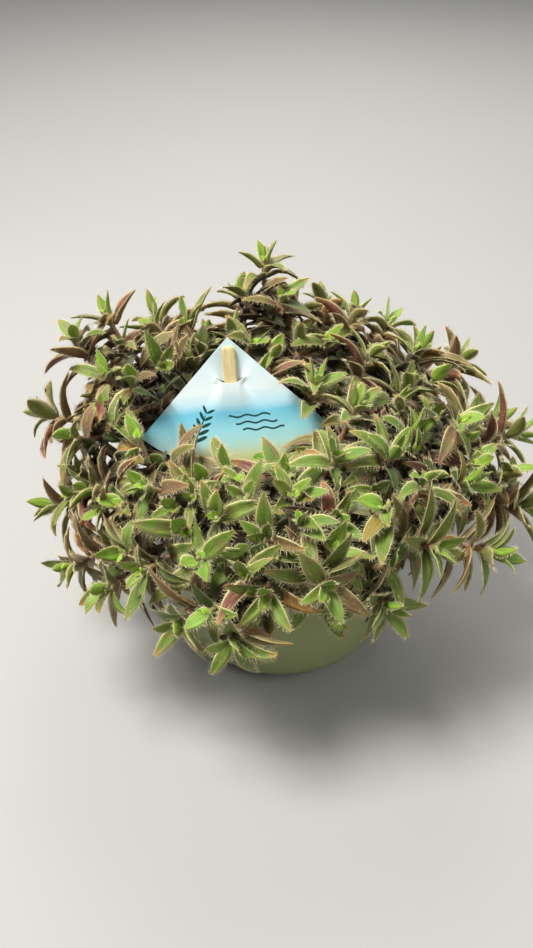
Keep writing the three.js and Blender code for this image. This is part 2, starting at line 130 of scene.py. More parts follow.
# Leaves. A blade's ring of points runs over its top from edge to edge, and back along its underside.
LEAF_WIDTH = 9 * MM
STATIONS = np.array([-0.03, 0.03, 0.1, 0.18, 0.28, 0.39, 0.5, 0.61, 0.72, 0.82, 0.91, 0.97])
TOP_PROFILE = [1, 0.5, 0, -0.5, -1]
UNDER_PROFILE = [-0.5, 0, 0.5]
PROFILE = np.array(TOP_PROFILE + UNDER_PROFILE)
IS_UNDER = np.array([0] * len(TOP_PROFILE) + [1] * len(UNDER_PROFILE))
# Every second station, for the leaves that the CAD model doesn't have.
FEW_STATIONS = [0, 2, 4, 6, 8, 10, 11]
# A blade is folded by at least the first angle, in degrees, and by chance up to the second one more.
LEAST_FOLD = 14
MORE_FOLD = 26
BLADE_THICKNESS = 0.25 * MM
THICKER_AT_ROOT = 0.75 * MM
# Where a leaf of the CAD model has its sections and its tip. The youngest leaves have one section fewer.
MATURE = [0.16, 0.45, 0.76, 1.0]
YOUNG = [0.3, 0.7, 1.0]
# Leaves are numbered down the stem from 0 at its tip, and this is the last number that is filled in between.
LAST_NUMBER = 8

# Added leaves are tried at several angles, and each keeps at least this clear of the others.
ROOM_BETWEEN_LEAVES = 0.8 * MM
ROOM_ON_BARE_STEM = 0.6 * MM
BESIDE_ANGLES = (65, 90, 115, -65, -90, -115)
BESIDE_SIZES = (0.78, 1.0)
BARE_STEM_TRIES = 4
BARE_STEM_SIZES = (0.6, 0.85)
BARE_STEM_SPACING = 5 * MM
# The mean and spread of the angles by which an added leaf is bent back and twisted.
BEND = (0.3, 0.35)
TWIST = (0, 0.45)
# The small leaves at a stem's end: angles in degrees and sizes.
BUDS = ((0, 0.44), (180, 0.4), (90, 0.32))

# How red leaves are: the start value, what the back, the left and age add, and how far chance spreads it.
REDNESS = 0.42
REDNESS_AT_BACK = 0.18
REDNESS_AT_LEFT = 0.24
REDNESS_OF_AGE = 0.25
REDNESS_SPREAD = 0.24
PLANT_RADIUS = 110 * MM

# Side shoots are sought in groups, and each group keeps clear of those before it.
SIDE_SHOOTS = 135
SIDE_SHOOT_GROUPS = 6
SIDE_SHOOT_TRIES = 14
SIDE_SHOOT_LEAVES = 7
LEAST_LEAVES = 4
SIDE_SHOOT_LENGTHS = (11, 30)
SIDE_SHOOT_RADII = (1.9 * MM, 1.3 * MM)
SIDE_SHOOT_ROOM = 5 * MM
TIPS_APART = 11 * MM
TURN_PER_LEAF = math.radians(160)
TURNS_TRIED = (0, 0.5, -0.5, 1.0)
SIZES_TRIED = (0.85, 1.1)

# Stems and hairs. The lengths of hairs are in millimetres.
STEM_SIDES = 8
STEM_SLIMMER = 0.78
SHEATH_SWELL = 0.16
HAIR_RADIUS = 0.1 * MM
FRINGE_SPACING = 0.72 * MM
FRINGE_LENGTHS = (1.9, 4.0)
FACE_HAIR_LENGTHS = (0.9, 1.7)
STEM_HAIR_LENGTHS = (0.8, 1.9)
STEM_HAIRS_PER_RING = 5
# A leaf with this many others in the ball just outside it is hidden: it grows fewer hairs, and painted shade
# darkens it and its hairs.
HIDDEN_BY = 7
BALL_AWAY = 12 * MM
BALL_RADIUS = 11 * MM

# The camera that took the photograph.
PHOTO_HEIGHT = 948
FOCAL_PIXELS = 950
CAMERA_PITCH = math.radians(40)
CAMERA_PLACE = Vector((-8.2, -360.7, 399.2)) * MM
SENSOR_HEIGHT = 36

# Square lamps: name, place, width and power. They all point at the plant's middle.
LAMPS = (
    ("key", (-0.45, -0.1, 1.15), 0.45, 22),
    ("fill", (0.8, -0.5, 0.8), 0.7, 3.8),
    ("back", (0.1, 0.9, 0.9), 0.7, 8),
)
PLANT_MIDDLE = Vector((0, 0, 0.1))
SKY_STRENGTH = 0.2
FLOOR_HALF_WIDTH = 6


# Materials

def colour(text):
    """A linear colour from its sRGB hex name."""
    parts = [int(text[i : i + 2], 16) / 255 for i in (0, 2, 4)]
    return (*[c / 12.92 if c < 0.04045 else ((c + 0.055) / 1.055) ** 2.4 for c in parts], 1)


class Nodes:
    """A material's node tree, with short ways to add nodes."""

    def __init__(self, name, roughness, **sockets):
        self.material = bpy.data.materials.new(name)
        self.material.use_nodes = True
        self.tree = self.material.node_tree
        self.shader = self.tree.nodes["Principled BSDF"]
        self.shader.inputs["Roughness"].default_value = roughness
        for socket, value in sockets.items():
            self.shader.inputs[socket.replace("_", " ")].default_value = value

    def link(self, value, socket):
        """Feeds a socket from a node, or sets it to a number, a vector or a colour's hex name."""
        if isinstance(value, bpy.types.NodeSocket):
            self.tree.links.new(value, socket)
        else:
            socket.default_value = colour(value) if isinstance(value, str) else value

    def new(self, kind, *values, **settings):
        """A new node, with its first inputs fed in their order."""
        made = self.tree.nodes.new("ShaderNode" + kind)
        for key, value in settings.items():
            setattr(made, key, value)
        for value, socket in zip(values, made.inputs):
            self.link(value, socket)
        return made

    def node(self, kind, output=0, settings=None, **inputs):
        """An output of a new node, with its inputs fed by name."""
        made = self.new(kind, **(settings or {}))
        for key, value in inputs.items():
            self.link(value, made.inputs[key])
        return made.outputs[output]

    def math(self, operation, a, b=0.0):
        return self.new("Math", a, b, operation=operation).outputs[0]

    def mix(self, share, a, b):
        made = self.new("Mix", share, data_type="RGBA")
        self.link(a, made.inputs[6])
        self.link(b, made.inputs[7])
        return made.outputs[2]

    def ramp(self, value, *stops):
        """A ramp of numbers or of colours."""
        made = self.new("ValToRGB", value)
        elements = made.color_ramp.elements
        while len(elements) < len(stops):
            elements.new(0.5)
        for element, (place, shade) in zip(elements, stops):
            element.position = place
            element.color = colour(shade) if isinstance(shade, str) else (shade, shade, shade, 1)
        return made.outputs[0]

    def noise(self, scale, detail=3.0, roughness=0.5, vector=None):
        if vector is None:
            vector = self.node("TexCoord", "Object")
        return self.node("TexNoise", "Fac", Vector=vector, Scale=scale, Detail=detail, Roughness=roughness)

    def vector(self, name):
        return self.node("Attribute", "Vector", {"attribute_name": name})

    def attribute(self, name):
        """The three parts of a vector attribute."""
        return self.new("SeparateXYZ", self.vector(name)).outputs[:3]

    def stretched(self, name, scale, detail, roughness=0.5):
        """Noise stretched along a vector attribute's parts."""
        place = self.node("Mapping", Vector=self.vector(name), Scale=scale)
        return self.noise(1.0, detail, roughness, place)

    def ellipse(self, vector, centre, half_axes, angle):
        """How far a place is from an ellipse's centre, with 1 on its edge."""
        turned = {"Location": (*centre, 0), "Rotation": (0, 0, angle), "Scale": (*half_axes, 1e6)}
        mapped = self.node("Mapping", 0, {"vector_type": "TEXTURE"}, Vector=vector, **turned)
        return self.new("VectorMath", mapped, operation="LENGTH").outputs["Value"]

    def within(self, distance, limit):
        return self.math("LESS_THAN", distance, limit)

    def with_painted_shade(self, shade):
        """The colour with painted shade: darker on leaves and hairs that lie deep inside the plant."""
        shown = self.attribute("leaf_depth")[0]
        return self.mix(self.ramp(shown, (0.0, 0.8), (0.6, 0.0)), shade, "140f08")

    def paint(self, shade):
        self.link(shade, self.shader.inputs["Base Color"])

    def bump(self, height, strength, distance):
        normal = self.node("Bump", Height=height, Strength=strength, Distance=distance)
        self.link(normal, self.shader.inputs["Normal"])

    def rough(self, value):
        self.link(value, self.shader.inputs["Roughness"])


def leaf_material():
    """leaf_kind holds age, redness and a random number. leaf_place holds across, along and underside."""
    n = Nodes("leaf", 0.6, Specular_IOR_Level=0.35, Sheen_Weight=0.12, Sheen_Roughness=0.4)
    age, red, chance = n.attribute("leaf_kind")
    across, along, under = n.attribute("leaf_place")
    blotch = n.noise(160, 3)
    fine = n.noise(1500, 2)
    streaks = n.stretched("leaf_place", (26.0, 4.0, 1.0), 2)
    veins = n.stretched("leaf_place", (9.0, 1.6, 1.0), 2)
    edge = n.math("ABSOLUTE", across)
    green = n.ramp(
        age,
        (0.0, "a0d92c"),
        (0.05, "94c92c"),
        (0.12, "6e9c24"),
        (0.3, "5b8422"),
        (0.6, "5e7a24"),
        (1.0, "746e30"),
    )
    green = n.mix(n.math("MULTIPLY", chance, 0.4), green, "85813f")
    brown = n.ramp(chance, (0.0, "7c6540"), (0.35, "83584a"), (0.7, "857444"), (1.0, "855040"))
    tinge = n.math("ADD", red, n.math("MULTIPLY", n.math("SUBTRACT", blotch, 0.5), 1.5))
    top = n.mix(n.ramp(tinge, (0.3, 0.0), (0.75, 1.0)), green, brown)
    maroon = n.ramp(chance, (0.0, "6c2036"), (0.5, "7c3c3c"), (1.0, "6e5c34"))
    below = n.mix(n.ramp(age, (0.15, 0.0), (0.5, 0.85)), green, maroon)
    shade = n.mix(n.ramp(under, (0.25, 0.0), (0.6, 1.0)), top, below)
    is_grown = n.ramp(age, (0.2, 0.0), (0.35, 1.0))
    flush = n.math("MULTIPLY", n.ramp(along, (0.0, 0.75), (0.3, 0.0)), n.ramp(chance, (0.2, 0.0), (0.6, 1.0)))
    shade = n.mix(n.math("MULTIPLY", flush, is_grown), shade, "8a4038")
    wine = n.math("MULTIPLY", n.ramp(chance, (0.87, 0.0), (0.88, 0.9)), is_grown)
    shade = n.mix(wine, shade, "7a2038")
    is_rusty = n.math("MULTIPLY", n.ramp(chance, (0.0, 0.7), (0.05, 0.7), (0.055, 0.0)), is_grown)
    shade = n.mix(is_rusty, shade, "b0602c")
    shade = n.mix(n.ramp(veins, (0.4, 0.42), (0.6, 0.0)), shade, "2a3412")
    shade = n.mix(n.ramp(streaks, (0.48, 0.0), (0.72, 0.42)), shade, "bab168")
    shade = n.mix(n.ramp(fine, (0.5, 0.0), (0.78, 0.24)), shade, "b0a258")
    tip = n.math("MULTIPLY", n.ramp(along, (0.76, 0.0), (1.0, 0.85)), n.ramp(chance, (0.3, 0.2), (0.7, 1.0)))
    shade = n.mix(tip, shade, "b88238")
    # Painted shade along the middle of the blade, in the groove of its fold.
    shade = n.mix(n.ramp(edge, (0.0, 0.25), (0.14, 0.0)), shade, "364a18")
    pale = n.mix(red, "d7cd8e", "c6a872")
    shade = n.mix(n.ramp(edge, (0.8, 0.0), (0.92, 0.95)), shade, pale)
    # Painted shade darkens leaves that lie deep inside the plant.
    n.paint(n.with_painted_shade(shade))
    n.rough(n.ramp(fine, (0.3, 0.45), (0.8, 0.65)))
    ridges = n.stretched("leaf_place", (14.0, 1.2, 1.0), 1)
    n.bump(n.math("ADD", ridges, n.math("MULTIPLY", fine, 0.6)), 0.4, 0.25 * MM)
    return n.material


def hair_material():
    """leaf_kind holds age, redness and a random number, and leaf_place the share of the hair's length."""
    n = Nodes("hair", 0.55, Specular_IOR_Level=0.4)
    red, chance = n.attribute("leaf_kind")[1:]
    along = n.attribute("leaf_place")[1]
    pale = n.mix(red, "ddd3a2", "cdb486")
    pale = n.mix(n.math("MULTIPLY", chance, 0.4), pale, "eae2be")
    shade = n.mix(n.ramp(along, (0.0, 0.3), (0.4, 0.0)), pale, "a8a060")
    # Painted shade darkens hairs that lie deep inside the plant.
    n.paint(n.with_painted_shade(shade))
    return n.material


def stem_material():
    n = Nodes("stem", 0.5, Specular_IOR_Level=0.35)
    age = n.attribute("leaf_kind")[0]
    streaks = n.stretched("leaf_place", (7.0, 2.5, 1.0), 3, 0.6)
    blotch = n.noise(220, 3)
    shade = n.ramp(age, (0.0, "9a9a5c"), (0.35, "a07a5c"), (1.0, "8a5a4a"))
    shade = n.mix(n.ramp(blotch, (0.4, 0.0), (0.7, 0.7)), shade, "7d3b36")
    shade = n.mix(n.ramp(streaks, (0.45, 0.0), (0.7, 0.4)), shade, "c9b596")
    n.paint(shade)
    n.bump(streaks, 0.4, 0.3 * MM)
    return n.material


def pot_material():
    n = Nodes("pot_plastic", 0.42, Specular_IOR_Level=0.45)
    drift = n.noise(9, 2)
    grain = n.noise(2600, 2)
    shade = n.mix(n.ramp(drift, (0.3, 0.0), (0.7, 1.0)), "878f60", "8f9868")
    dust = n.noise(420, 4, 0.65)
    shade = n.mix(n.ramp(dust, (0.62, 0.0), (0.8, 0.3)), shade, "a6ab82")
    n.paint(shade)
    n.rough(n.ramp(dust, (0.3, 0.38), (0.8, 0.52)))
    n.bump(grain, 0.12, 0.1 * MM)
    return n.material


def soil_material():
    n = Nodes("soil", 0.95, Specular_IOR_Level=0.15)
    lumps = n.noise(330, 5, 0.7)
    specks = n.noise(1400, 2)
    shade = n.ramp(lumps, (0.3, "17110c"), (0.55, "2c2018"), (0.8, "4a3626"))
    shade = n.mix(n.ramp(specks, (0.68, 0.0), (0.76, 0.6)), shade, "6d5540")
    n.paint(shade)
    n.bump(lumps, 0.9, 0.8 * MM)
    return n.material


def card_material():
    """card_place holds x and y on the card as shares of its radius."""
    n = Nodes("card_print", 0.42, Specular_IOR_Level=0.4)
    x, y = n.attribute("card_place")[:2]
    place = n.vector("card_place")
    waves = n.stretched("card_place", (1.6, 7.0, 1.0), 2)
    height = n.math("ADD", y, n.math("MULTIPLY", n.math("SUBTRACT", waves, 0.5), 0.08))
    shade = n.ramp(
        height,
        (0.03, "cfc873"),
        (0.1, "d8e0a8"),
        (0.19, "bfeadf"),
        (0.3, "a4e8f2"),
        (0.43, "7fd6f0"),
        (0.5, "c8f0fa"),
        (0.6, "f2fdfc"),
        (0.95, "cfe8ea"),
    )
    shade = n.mix(n.within(sprig(n, place), 1.0), shade, INK)
    shade = n.mix(n.within(ripples(n, x, y), RIPPLE_HALF_WIDTH), shade, INK)
    shade = n.mix(n.within(n.ellipse(place, (0.2, 0.07), (0.075, 0.03), 0.05), 1.0), shade, "7cb92e")
    fibre = n.noise(900, 3)
    shade = n.mix(n.ramp(fibre, (0.4, 0.0), (0.8, 0.08)), shade, "8aa0a4")
    n.paint(shade)
    n.bump(fibre, 0.08, 0.05 * MM)
    return n.material


def sprig(n, place):
    """A printed sprig: leaflets in pairs along a leaning stalk. The value is below 1 inside it."""
    foot, lean, step = (-0.33, 0.17), 0.45, 0.06
    found = n.ellipse(place, (foot[0] + 0.06, foot[1] + 0.13), (0.006, 0.15), -lean)
    for pair in range(5):
        x = foot[0] + math.sin(lean) * step * (pair + 1)
        y = foot[1] + math.cos(lean) * step * (pair + 1)
        size = 0.05 - 0.004 * pair
        for side in (-1, 1):
            angle = math.pi / 2 - lean + side * 0.75
            centre = (x + size * math.cos(angle), y + size * math.sin(angle))
            found = n.math("MINIMUM", found, n.ellipse(place, centre, (size, 0.3 * size), angle))
    return found


def ripples(n, x, y):
    """Three short waved lines printed on the card, as the distance from the nearest of them."""
    found = 1.0
    for line in range(3):
        wave = n.math("MULTIPLY", n.math("SINE", n.math("MULTIPLY", x, 48.0)), 0.008)
        height = n.math("ABSOLUTE", n.math("SUBTRACT", n.math("ADD", y, wave), 0.4 - 0.055 * line))
        beside = n.math("SUBTRACT", n.math("ABSOLUTE", n.math("SUBTRACT", x, 0.12 + 0.05 * line)), 0.15)
        found = n.math("MINIMUM", found, n.math("MAXIMUM", height, beside))
    return found


def paper_material():
    n = Nodes("card_back", 0.6, Specular_IOR_Level=0.3)
    fibre = n.noise(900, 3)
    n.paint(n.mix(n.ramp(fibre, (0.35, 0.0), (0.75, 1.0)), "e6e4dc", "f0eee8"))
    n.bump(fibre, 0.08, 0.05 * MM)
    return n.material


def wood_material():
    """wood_place holds across, along and depth in the stick, in shares of its width."""
    n = Nodes("stick_wood", 0.6, Specular_IOR_Level=0.3)
    x = n.attribute("wood_place")[0]
    grain = n.stretched("wood_place", (9.0, 0.5, 4.0), 4, 0.6)
    pores = n.stretched("wood_place", (34.0, 1.3, 20.0), 2)
    shade = n.ramp(grain, (0.3, "d9b873"), (0.5, "e6cd90"), (0.75, "f0deac"))
    # Painted highlight: a lighter band down the middle of each face of the stick.
    middle = n.ramp(n.math("ABSOLUTE", x), (0.0, 0.45), (0.28, 0.0))
    shade = n.mix(middle, shade, "f3e6bf")
    shade = n.mix(n.ramp(pores, (0.62, 0.0), (0.74, 0.55)), shade, "b08c50")
    n.paint(shade)
    n.bump(n.math("ADD", grain, pores), 0.5, 0.2 * MM)
    return n.material


def floor_material():
    n = Nodes("floor", 0.75, Specular_IOR_Level=0.2)
    n.paint(n.mix(n.noise(3, 2), "aaa8a3", "b1aea9"))
    return n.material


# Meshes

def unit(v):
    return v / np.maximum(np.linalg.norm(v, axis=-1, keepdims=True), 1e-12)


def square_to(axis, v):
    """Unit directions like v, but square to an axis."""
    return unit(v - axis * (v * axis).sum(-1, keepdims=True))


def circle(steps):
    """Angles spread evenly round a circle."""
    return np.arange(steps) * 2 * math.pi / steps


def grid_faces(rows, columns):
    """Four-sided faces between rings of points."""
    i, j = np.meshgrid(np.arange(rows - 1), np.arange(columns), indexing="ij")
    a = i * columns + j
    b = i * columns + (j + 1) % columns
    return np.stack([a, b, b + columns, a + columns], -1).reshape(-1, 4)


def linked(name, data):
    """A new object in the scene."""
    made = bpy.data.objects.new(name, data)
    bpy.context.scene.collection.objects.link(made)
    return made


class Shape:
    """Points and faces of one piece, with vector attributes and each point's place in its map."""

    def __init__(self):
        self.points, self.faces, self.slots, self.fields, self.map = [], [], [], {}, []
        self.count = 0

    def add(self, points, faces, slot=0, uv=None, **fields):
        """faces is a list of arrays of corner numbers, counted from this patch's first point."""
        points = np.asarray(points, float).reshape(-1, 3)
        for group in faces:
            group = np.asarray(group) + self.count
            self.faces.extend(group.tolist())
            self.slots.extend([slot] * len(group))
        for name, values in fields.items():
            values = np.broadcast_to(np.asarray(values, float), points.shape)
            self.fields.setdefault(name, []).append(values)
        if uv is not None:
            self.map.append(uv)
        self.points.append(points)
        self.count += len(points)

    def piece(self, name, materials, slot, replaced=(), smooth=True):
        mesh = bpy.data.meshes.new(name)
        mesh.from_pydata(np.concatenate(self.points).tolist(), [], self.faces)
        for material in materials:
            mesh.materials.append(material)
        mesh.polygons.foreach_set("material_index", self.slots)
        mesh.polygons.foreach_set("use_smooth", [smooth] * len(mesh.polygons))
        for field, values in self.fields.items():
            attribute = mesh.attributes.new(field, "FLOAT_VECTOR", "POINT")
            attribute.data.foreach_set("vector", np.concatenate(values).astype(np.float32).ravel())
        if self.map:
            corners = np.zeros(len(mesh.loops), np.int32)
            mesh.loops.foreach_get("vertex_index", corners)
            places = np.concatenate(self.map)[corners]
            mesh.uv_layers.new(name="OFBake").data.foreach_set("uv", places.astype(np.float32).ravel())
        mesh.validate()
        mesh.update()
        made = linked(name, mesh)
        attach(made, "root")
        if replaced:
            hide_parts(*replaced)
        return made


# Reading the leafy stems of the frame

def corners_of(node):
    """A solid's corners, with those of neighbouring faces merged, and the set of each corner's neighbours."""
    solid = bmesh.new()
    solid.from_mesh(frame["nodes"][node].data)
    bmesh.ops.remove_doubles(solid, verts=solid.verts, dist=0.02 * MM)
    solid.verts.ensure_lookup_table()
    solid.verts.index_update()
    points = np.array([v.co for v in solid.verts])
    beside = [{e.other_vert(v).index for e in v.link_edges} for v in solid.verts]
    solid.free()
    return points, beside


def around(group, beside):
    return set().union(*(beside[i] for i in group)) - set(group)


def walk_leaf(tip, beside):
    """The sections of three corners from a leaf's tip down to its root, and the root's four corners."""
    sections = [beside[tip]]
    seen = {tip} | beside[tip]
    while True:
        ahead = around(sections[-1], beside) - seen
        if len(ahead) == 4:
            return sections, ahead
        if len(ahead) != 3 or len(sections) > 3:
            return None
        sections.append(ahead)
        seen |= ahead


def is_tip(corner, beside):
    return len(beside[corner]) == 3 and all(len(beside[i] & beside[corner]) == 2 for i in beside[corner])


def walk_stem(rest, points, beside):
    """The stem's rings of four corners, from its foot up."""
    rings = [set(sorted(rest, key=lambda i: points[i][2])[:4])]
    seen = set(rings[0])
    while True:
        ahead = (around(rings[-1], beside) & rest) - seen
        if len(ahead) != 4:
            return rings
        rings.append(ahead)
        seen |= ahead


def width_share(t):
    """How wide a leaf is along its length, as a share of its full width. It is the CAD model's formula."""
    return 1.8 * (np.maximum(t, 0) + 0.03) ** 0.42 * (1 - np.maximum(t, 0) ** 1.7) ** 0.95


def through(places, values, wanted):
    """The smooth curve through values at places, read at the wanted places."""
    return np.stack([np.polyval(np.polyfit(places, v, len(places) - 1), wanted) for v in values.T], -1)


class Leaf:
    """A leaf's spine and its two side directions at each station, with what its colour needs."""

    def __init__(self, spine, across, below, width, age, red, is_extra=False):
        self.spine, self.across, self.below = spine, across, below
        self.width, self.age, self.red, self.is_extra = width, age, red, is_extra
        self.chance = rng.random()

    def moved(self, pivot, turn, scale, shift, **changes):
        """A copy turned and scaled about a point and then shifted."""
        return Leaf(
            pivot + shift + scale * (self.spine - pivot) @ turn.T,
            self.across @ turn.T,
            self.below @ turn.T,
            self.width * scale,
            changes.get("age", self.age),
            changes.get("red", self.red),
            True,
        )

    def reshaped(self, bend, twist, broader=1.0):
        """Bends the blade back and twists it about its spine, by angles that grow towards the tip."""
        share = np.clip(STATIONS, 0, 1)
        steps = np.diff(self.spine, axis=0)
        for i, t in enumerate(share):
            turn = turn_about(self.across[0], bend * t)
            if i < len(steps):
                steps[i] = steps[i] @ turn.T
            self.across[i] = self.across[i] @ turn.T
            self.below[i] = self.below[i] @ turn.T
        self.spine[1:] = self.spine[0] + np.cumsum(steps, axis=0)
        heading = unit(np.gradient(self.spine, axis=0))
        angle = (twist * share)[:, None]
        across = square_to(heading, self.across)
        self.across = unit(across * np.cos(angle) + np.cross(heading, across) * np.sin(angle))
        self.below = np.cross(self.across, heading)
        self.width *= broader
        return self

    def probes(self):
        """Points of the blade against which its neighbours are kept clear."""
        side = self.across[3:] * (0.3 * self.width * width_share(STATIONS[3:]))[:, None]
        return np.concatenate([self.spine[3:], self.spine[3:] + side, self.spine[3:] - side])


class Stem:
    """A leafy stem of the frame, with its rings' centres, radii and leaves."""

    def __init__(self, node):
        self.node = node
        points, beside = corners_of(node)
        tips = [i for i in range(len(points)) if is_tip(i, beside)]
        walks = {tip: walk_leaf(tip, beside) for tip in tips}
        walks = {tip: walk for tip, walk in walks.items() if walk}
        blades = set().union(*({tip}.union(*walk[0]) for tip, walk in walks.items()))
        rest = set(range(len(points))) - blades
        rings = walk_stem(rest, points, beside)
        self.centres = np.array([points[list(r)].mean(0) for r in rings])
        away = [np.linalg.norm(points[list(r)] - c, axis=1) for r, c in zip(rings, self.centres)]
        self.radii = np.array([a.mean() for a in away])
        self.leaves, self.numbers, self.axes, self.roots = [], [], [], []
        for tip, (sections, root) in sorted(walks.items(), key=lambda w: tuple(points[w[0]])):
            low = min(i for i, ring in enumerate(rings) if ring & root)
            self.read_leaf(points, tip, sections[::-1], list(root), low, len(rings) - 2 - low)

    def read_leaf(self, points, tip, sections, root, low, number):
        axis = unit(self.centres[low + 1] - self.centres[low])
        centre = (self.centres[low] + self.centres[low + 1]) / 2
        outward = square_to(axis, points[root].mean(0) - centre)
        start = centre + outward * 0.7 * self.radii[low]
        places = [0.0] + (MATURE if len(sections) == 3 else YOUNG)
        spine, across, below, widths = [start], [], [], []
        for place, section in zip(places[1:], sections):
            trio = [points[i] for i in section]
            lengths = [np.linalg.norm(trio[(i + 1) % 3] - trio[(i + 2) % 3]) for i in range(3)]
            keel = int(np.argmax(lengths))
            one, other = trio[(keel + 1) % 3], trio[(keel + 2) % 3]
            middle = (one + other) / 2
            spine.append(middle)
            across.append(unit(one - other))
            below.append(unit(trio[keel] - middle))
            widths.append(np.linalg.norm(one - other) / width_share(np.array(place)))
        spine.append(points[tip])
        spine = through(places, np.array(spine), STATIONS)
        heading = unit(np.gradient(spine, STATIONS, axis=0))
        turned = []
        for side, down, place in zip(across, below, places[1:]):
            ahead = heading[np.argmin(abs(STATIONS - place))]
            turned.append(side if np.cross(side, ahead) @ down > 0 else -side)
        across = np.stack([np.interp(STATIONS, places[1:-1], v) for v in np.array(turned).T], -1)
        across = square_to(heading, across)
        below = np.cross(across, heading)
        age = (number + 1) / 10
        self.leaves.append(Leaf(spine, across, below, float(np.median(widths)), age, 0.0))
        self.numbers.append(number)
        self.axes.append(axis)
        self.roots.append(centre)


stems = [Stem(name) for name in sorted(frame["nodes"]) if name.startswith("shoot_")]


def redness(place, age):
    """How red a leaf is: more so towards the back and the left, and on older leaves."""
    back = REDNESS_AT_BACK * np.clip(place[1] / PLANT_RADIUS, -1, 1)
    left = REDNESS_AT_LEFT * np.clip(-place[0] / PLANT_RADIUS, -1, 1)
    value = REDNESS + back + left + REDNESS_OF_AGE * (age - 0.4) + rng.normal(0, REDNESS_SPREAD)
    return float(np.clip(value, 0, 1)) * min(1.0, age * 3.2)


for stem in stems:
    for leaf in stem.leaves:
        leaf.red = redness(leaf.spine[-1], leaf.age)


# Extra leaves

card_frame = (
    Matrix.Translation(CARD_FOOT)
    @ Matrix.Rotation(CARD_TURN, 4, "Z")
    @ Matrix.Rotation(math.pi / 2 - CARD_LEAN, 4, "X")
    @ Matrix.Rotation(CARD_ROLL, 4, "Z")
)
stick_frame = card_frame @ Matrix.Translation((0, SLIT_HEIGHT, 0)) @ Matrix.Rotation(STICK_TILT, 4, "X")


def placed(matrix, points):
    matrix = np.array(matrix)
    return np.asarray(points) @ matrix[:3, :3].T + matrix[:3, 3]


def turn_about(axis, angle):
    return np.array(Matrix.Rotation(angle, 3, Vector(axis)))


def tree_from(points):
    tree = KDTree(len(points))
    for i, point in enumerate(points):
        tree.insert(point, i)
    tree.balance()
    return tree


def tree_of(leaves):
    """The places of the leaves' blades and of the card, stick and pot."""
    return tree_from(np.concatenate([leaf.probes() for leaf in leaves] + solids))


def solid_probes(node, spacing):
    """Points spread over a CAD solid's faces."""
    found = []
    mesh = frame["nodes"][node].data
    for face in mesh.polygons:
        corners = [np.array(mesh.vertices[i].co) for i in face.vertices]
        count = max(1, int(math.ceil(math.sqrt(face.area) / spacing)) + 1)
        for i in range(count + 1):
            for j in range(count + 1 - i):
                a, b = i / count, j / count
                found.append(corners[0] * (1 - a - b) + corners[1] * a + corners[2] * b)
    return np.array(found)


solids = [solid_probes("tag_card", 2 * MM), solid_probes("tag_stick", 2 * MM), solid_probes("pot", 4 * MM)]


def hides_card(points):
    """True if any of the points lies before the upper part of the card as the camera sees it."""
    to_card = np.array(card_frame.inverted())
    eye = placed(to_card, [CAMERA_PLACE])[0]
    spots = placed(to_card, points)
    before = spots[:, 2] > 0
    share = eye[2] / np.maximum(eye[2] - spots[:, 2], 1e-6)
    seen = eye + (spots - eye) * share[:, None]
    x, y = seen[:, 0], seen[:, 1]
    in_disc = np.hypot(x, y - CARD_RADIUS) < CARD_RADIUS - CARD_SHOWN_FROM
    in_corner = CARD_RADIUS - y > abs(x) - 1 * MM
    return bool((before & in_disc & in_corner).any())


def meets_card(points):
    """True if the points come near the card or lie on both sides of it."""
    spots = placed(np.array(card_frame.inverted()), points)
    x, y, z = spots.T
    reach = CARD_RADIUS + 2 * MM
    z = z[(np.hypot(x, y - CARD_RADIUS) < reach) & (reach - y > np.abs(x))]
    return bool(len(z)) and (z.min() < LIP_LIFT) and (z.max() > -LIP_LIFT)


def fits(leaf):
    """True if a leaf stays in the CAD model's box, above the soil and out of the card's picture."""
    points = leaf.probes()
    if meets_card(points):
        return False
    low, high = np.array(cad_bounds[0]), np.array(cad_bounds[1])
    if (points < low).any() or (points > high).any() or points[:, 2].min() < 2 * MM:
        return False
    over_pot = np.hypot(points[:, 0], points[:, 1]) < RIM_RADIUS + 2 * MM
    if (over_pot & (points[:, 2] < SOIL_TOP + 3 * MM)).any():
        return False
    return not hides_card(points)


def all_leaves(twigs=()):
    return [leaf for grown in (*stems, *twigs) for leaf in grown.leaves]


patterns = {}
for stem in stems:
    for leaf, number, axis, root in zip(stem.leaves, stem.numbers, stem.axes, stem.roots):
        patterns.setdefault(number, []).append((leaf, axis, root))


def patterned(number, axis, root, angle, scale, **changes):
    """A copy of some leaf of that number, set on another stem and turned about it."""
    choices = patterns[min(number, max(patterns))]
    leaf, was, pivot = choices[rng.integers(len(choices))]
    onto = np.array(Vector(was).rotation_difference(Vector(axis)).to_matrix())
    return leaf.moved(pivot, turn_about(axis, angle) @ onto, scale, root - pivot, **changes)


def roomiest(tries, tree, least):
    """Of the leaves that fit, the one that keeps clearest of the others, by more than the least room."""
    best = None
    for tried in tries:
        room = min(tree.find(p)[2] for p in tried.probes()[2:])
        if room > least and fits(tried):
            best, least = tried, room
    return best


def beside_leaf(pattern, axis, root):
    for angle in BESIDE_ANGLES:
        angle = math.radians(angle) + rng.normal(0, 0.12)
        scale = rng.uniform(*BESIDE_SIZES)
        tried = pattern.moved(root, turn_about(axis, angle), scale, axis * 0.9 * MM)
        yield tried.reshaped(rng.normal(*BEND), rng.normal(*TWIST))


def on_bare_stem(axis, spot):
    for _ in range(BARE_STEM_TRIES):
        turn, scale = rng.uniform(0, 2 * math.pi), rng.uniform(*BARE_STEM_SIZES)
        tried = patterned(LAST_NUMBER, axis, spot, turn, scale, age=1.0)
        yield tried.reshaped(rng.normal(0, 0.3), rng.normal(0, 0.4))


def on_side_shoot(number, axis, root, turn, size):
    for shift in TURNS_TRIED:
        tried = patterned(number, axis, root, turn + shift, size * rng.uniform(*SIZES_TRIED))
        yield tried.reshaped(rng.normal(*BEND), rng.normal(*TWIST), 1.3 if number == 0 else 1.0)


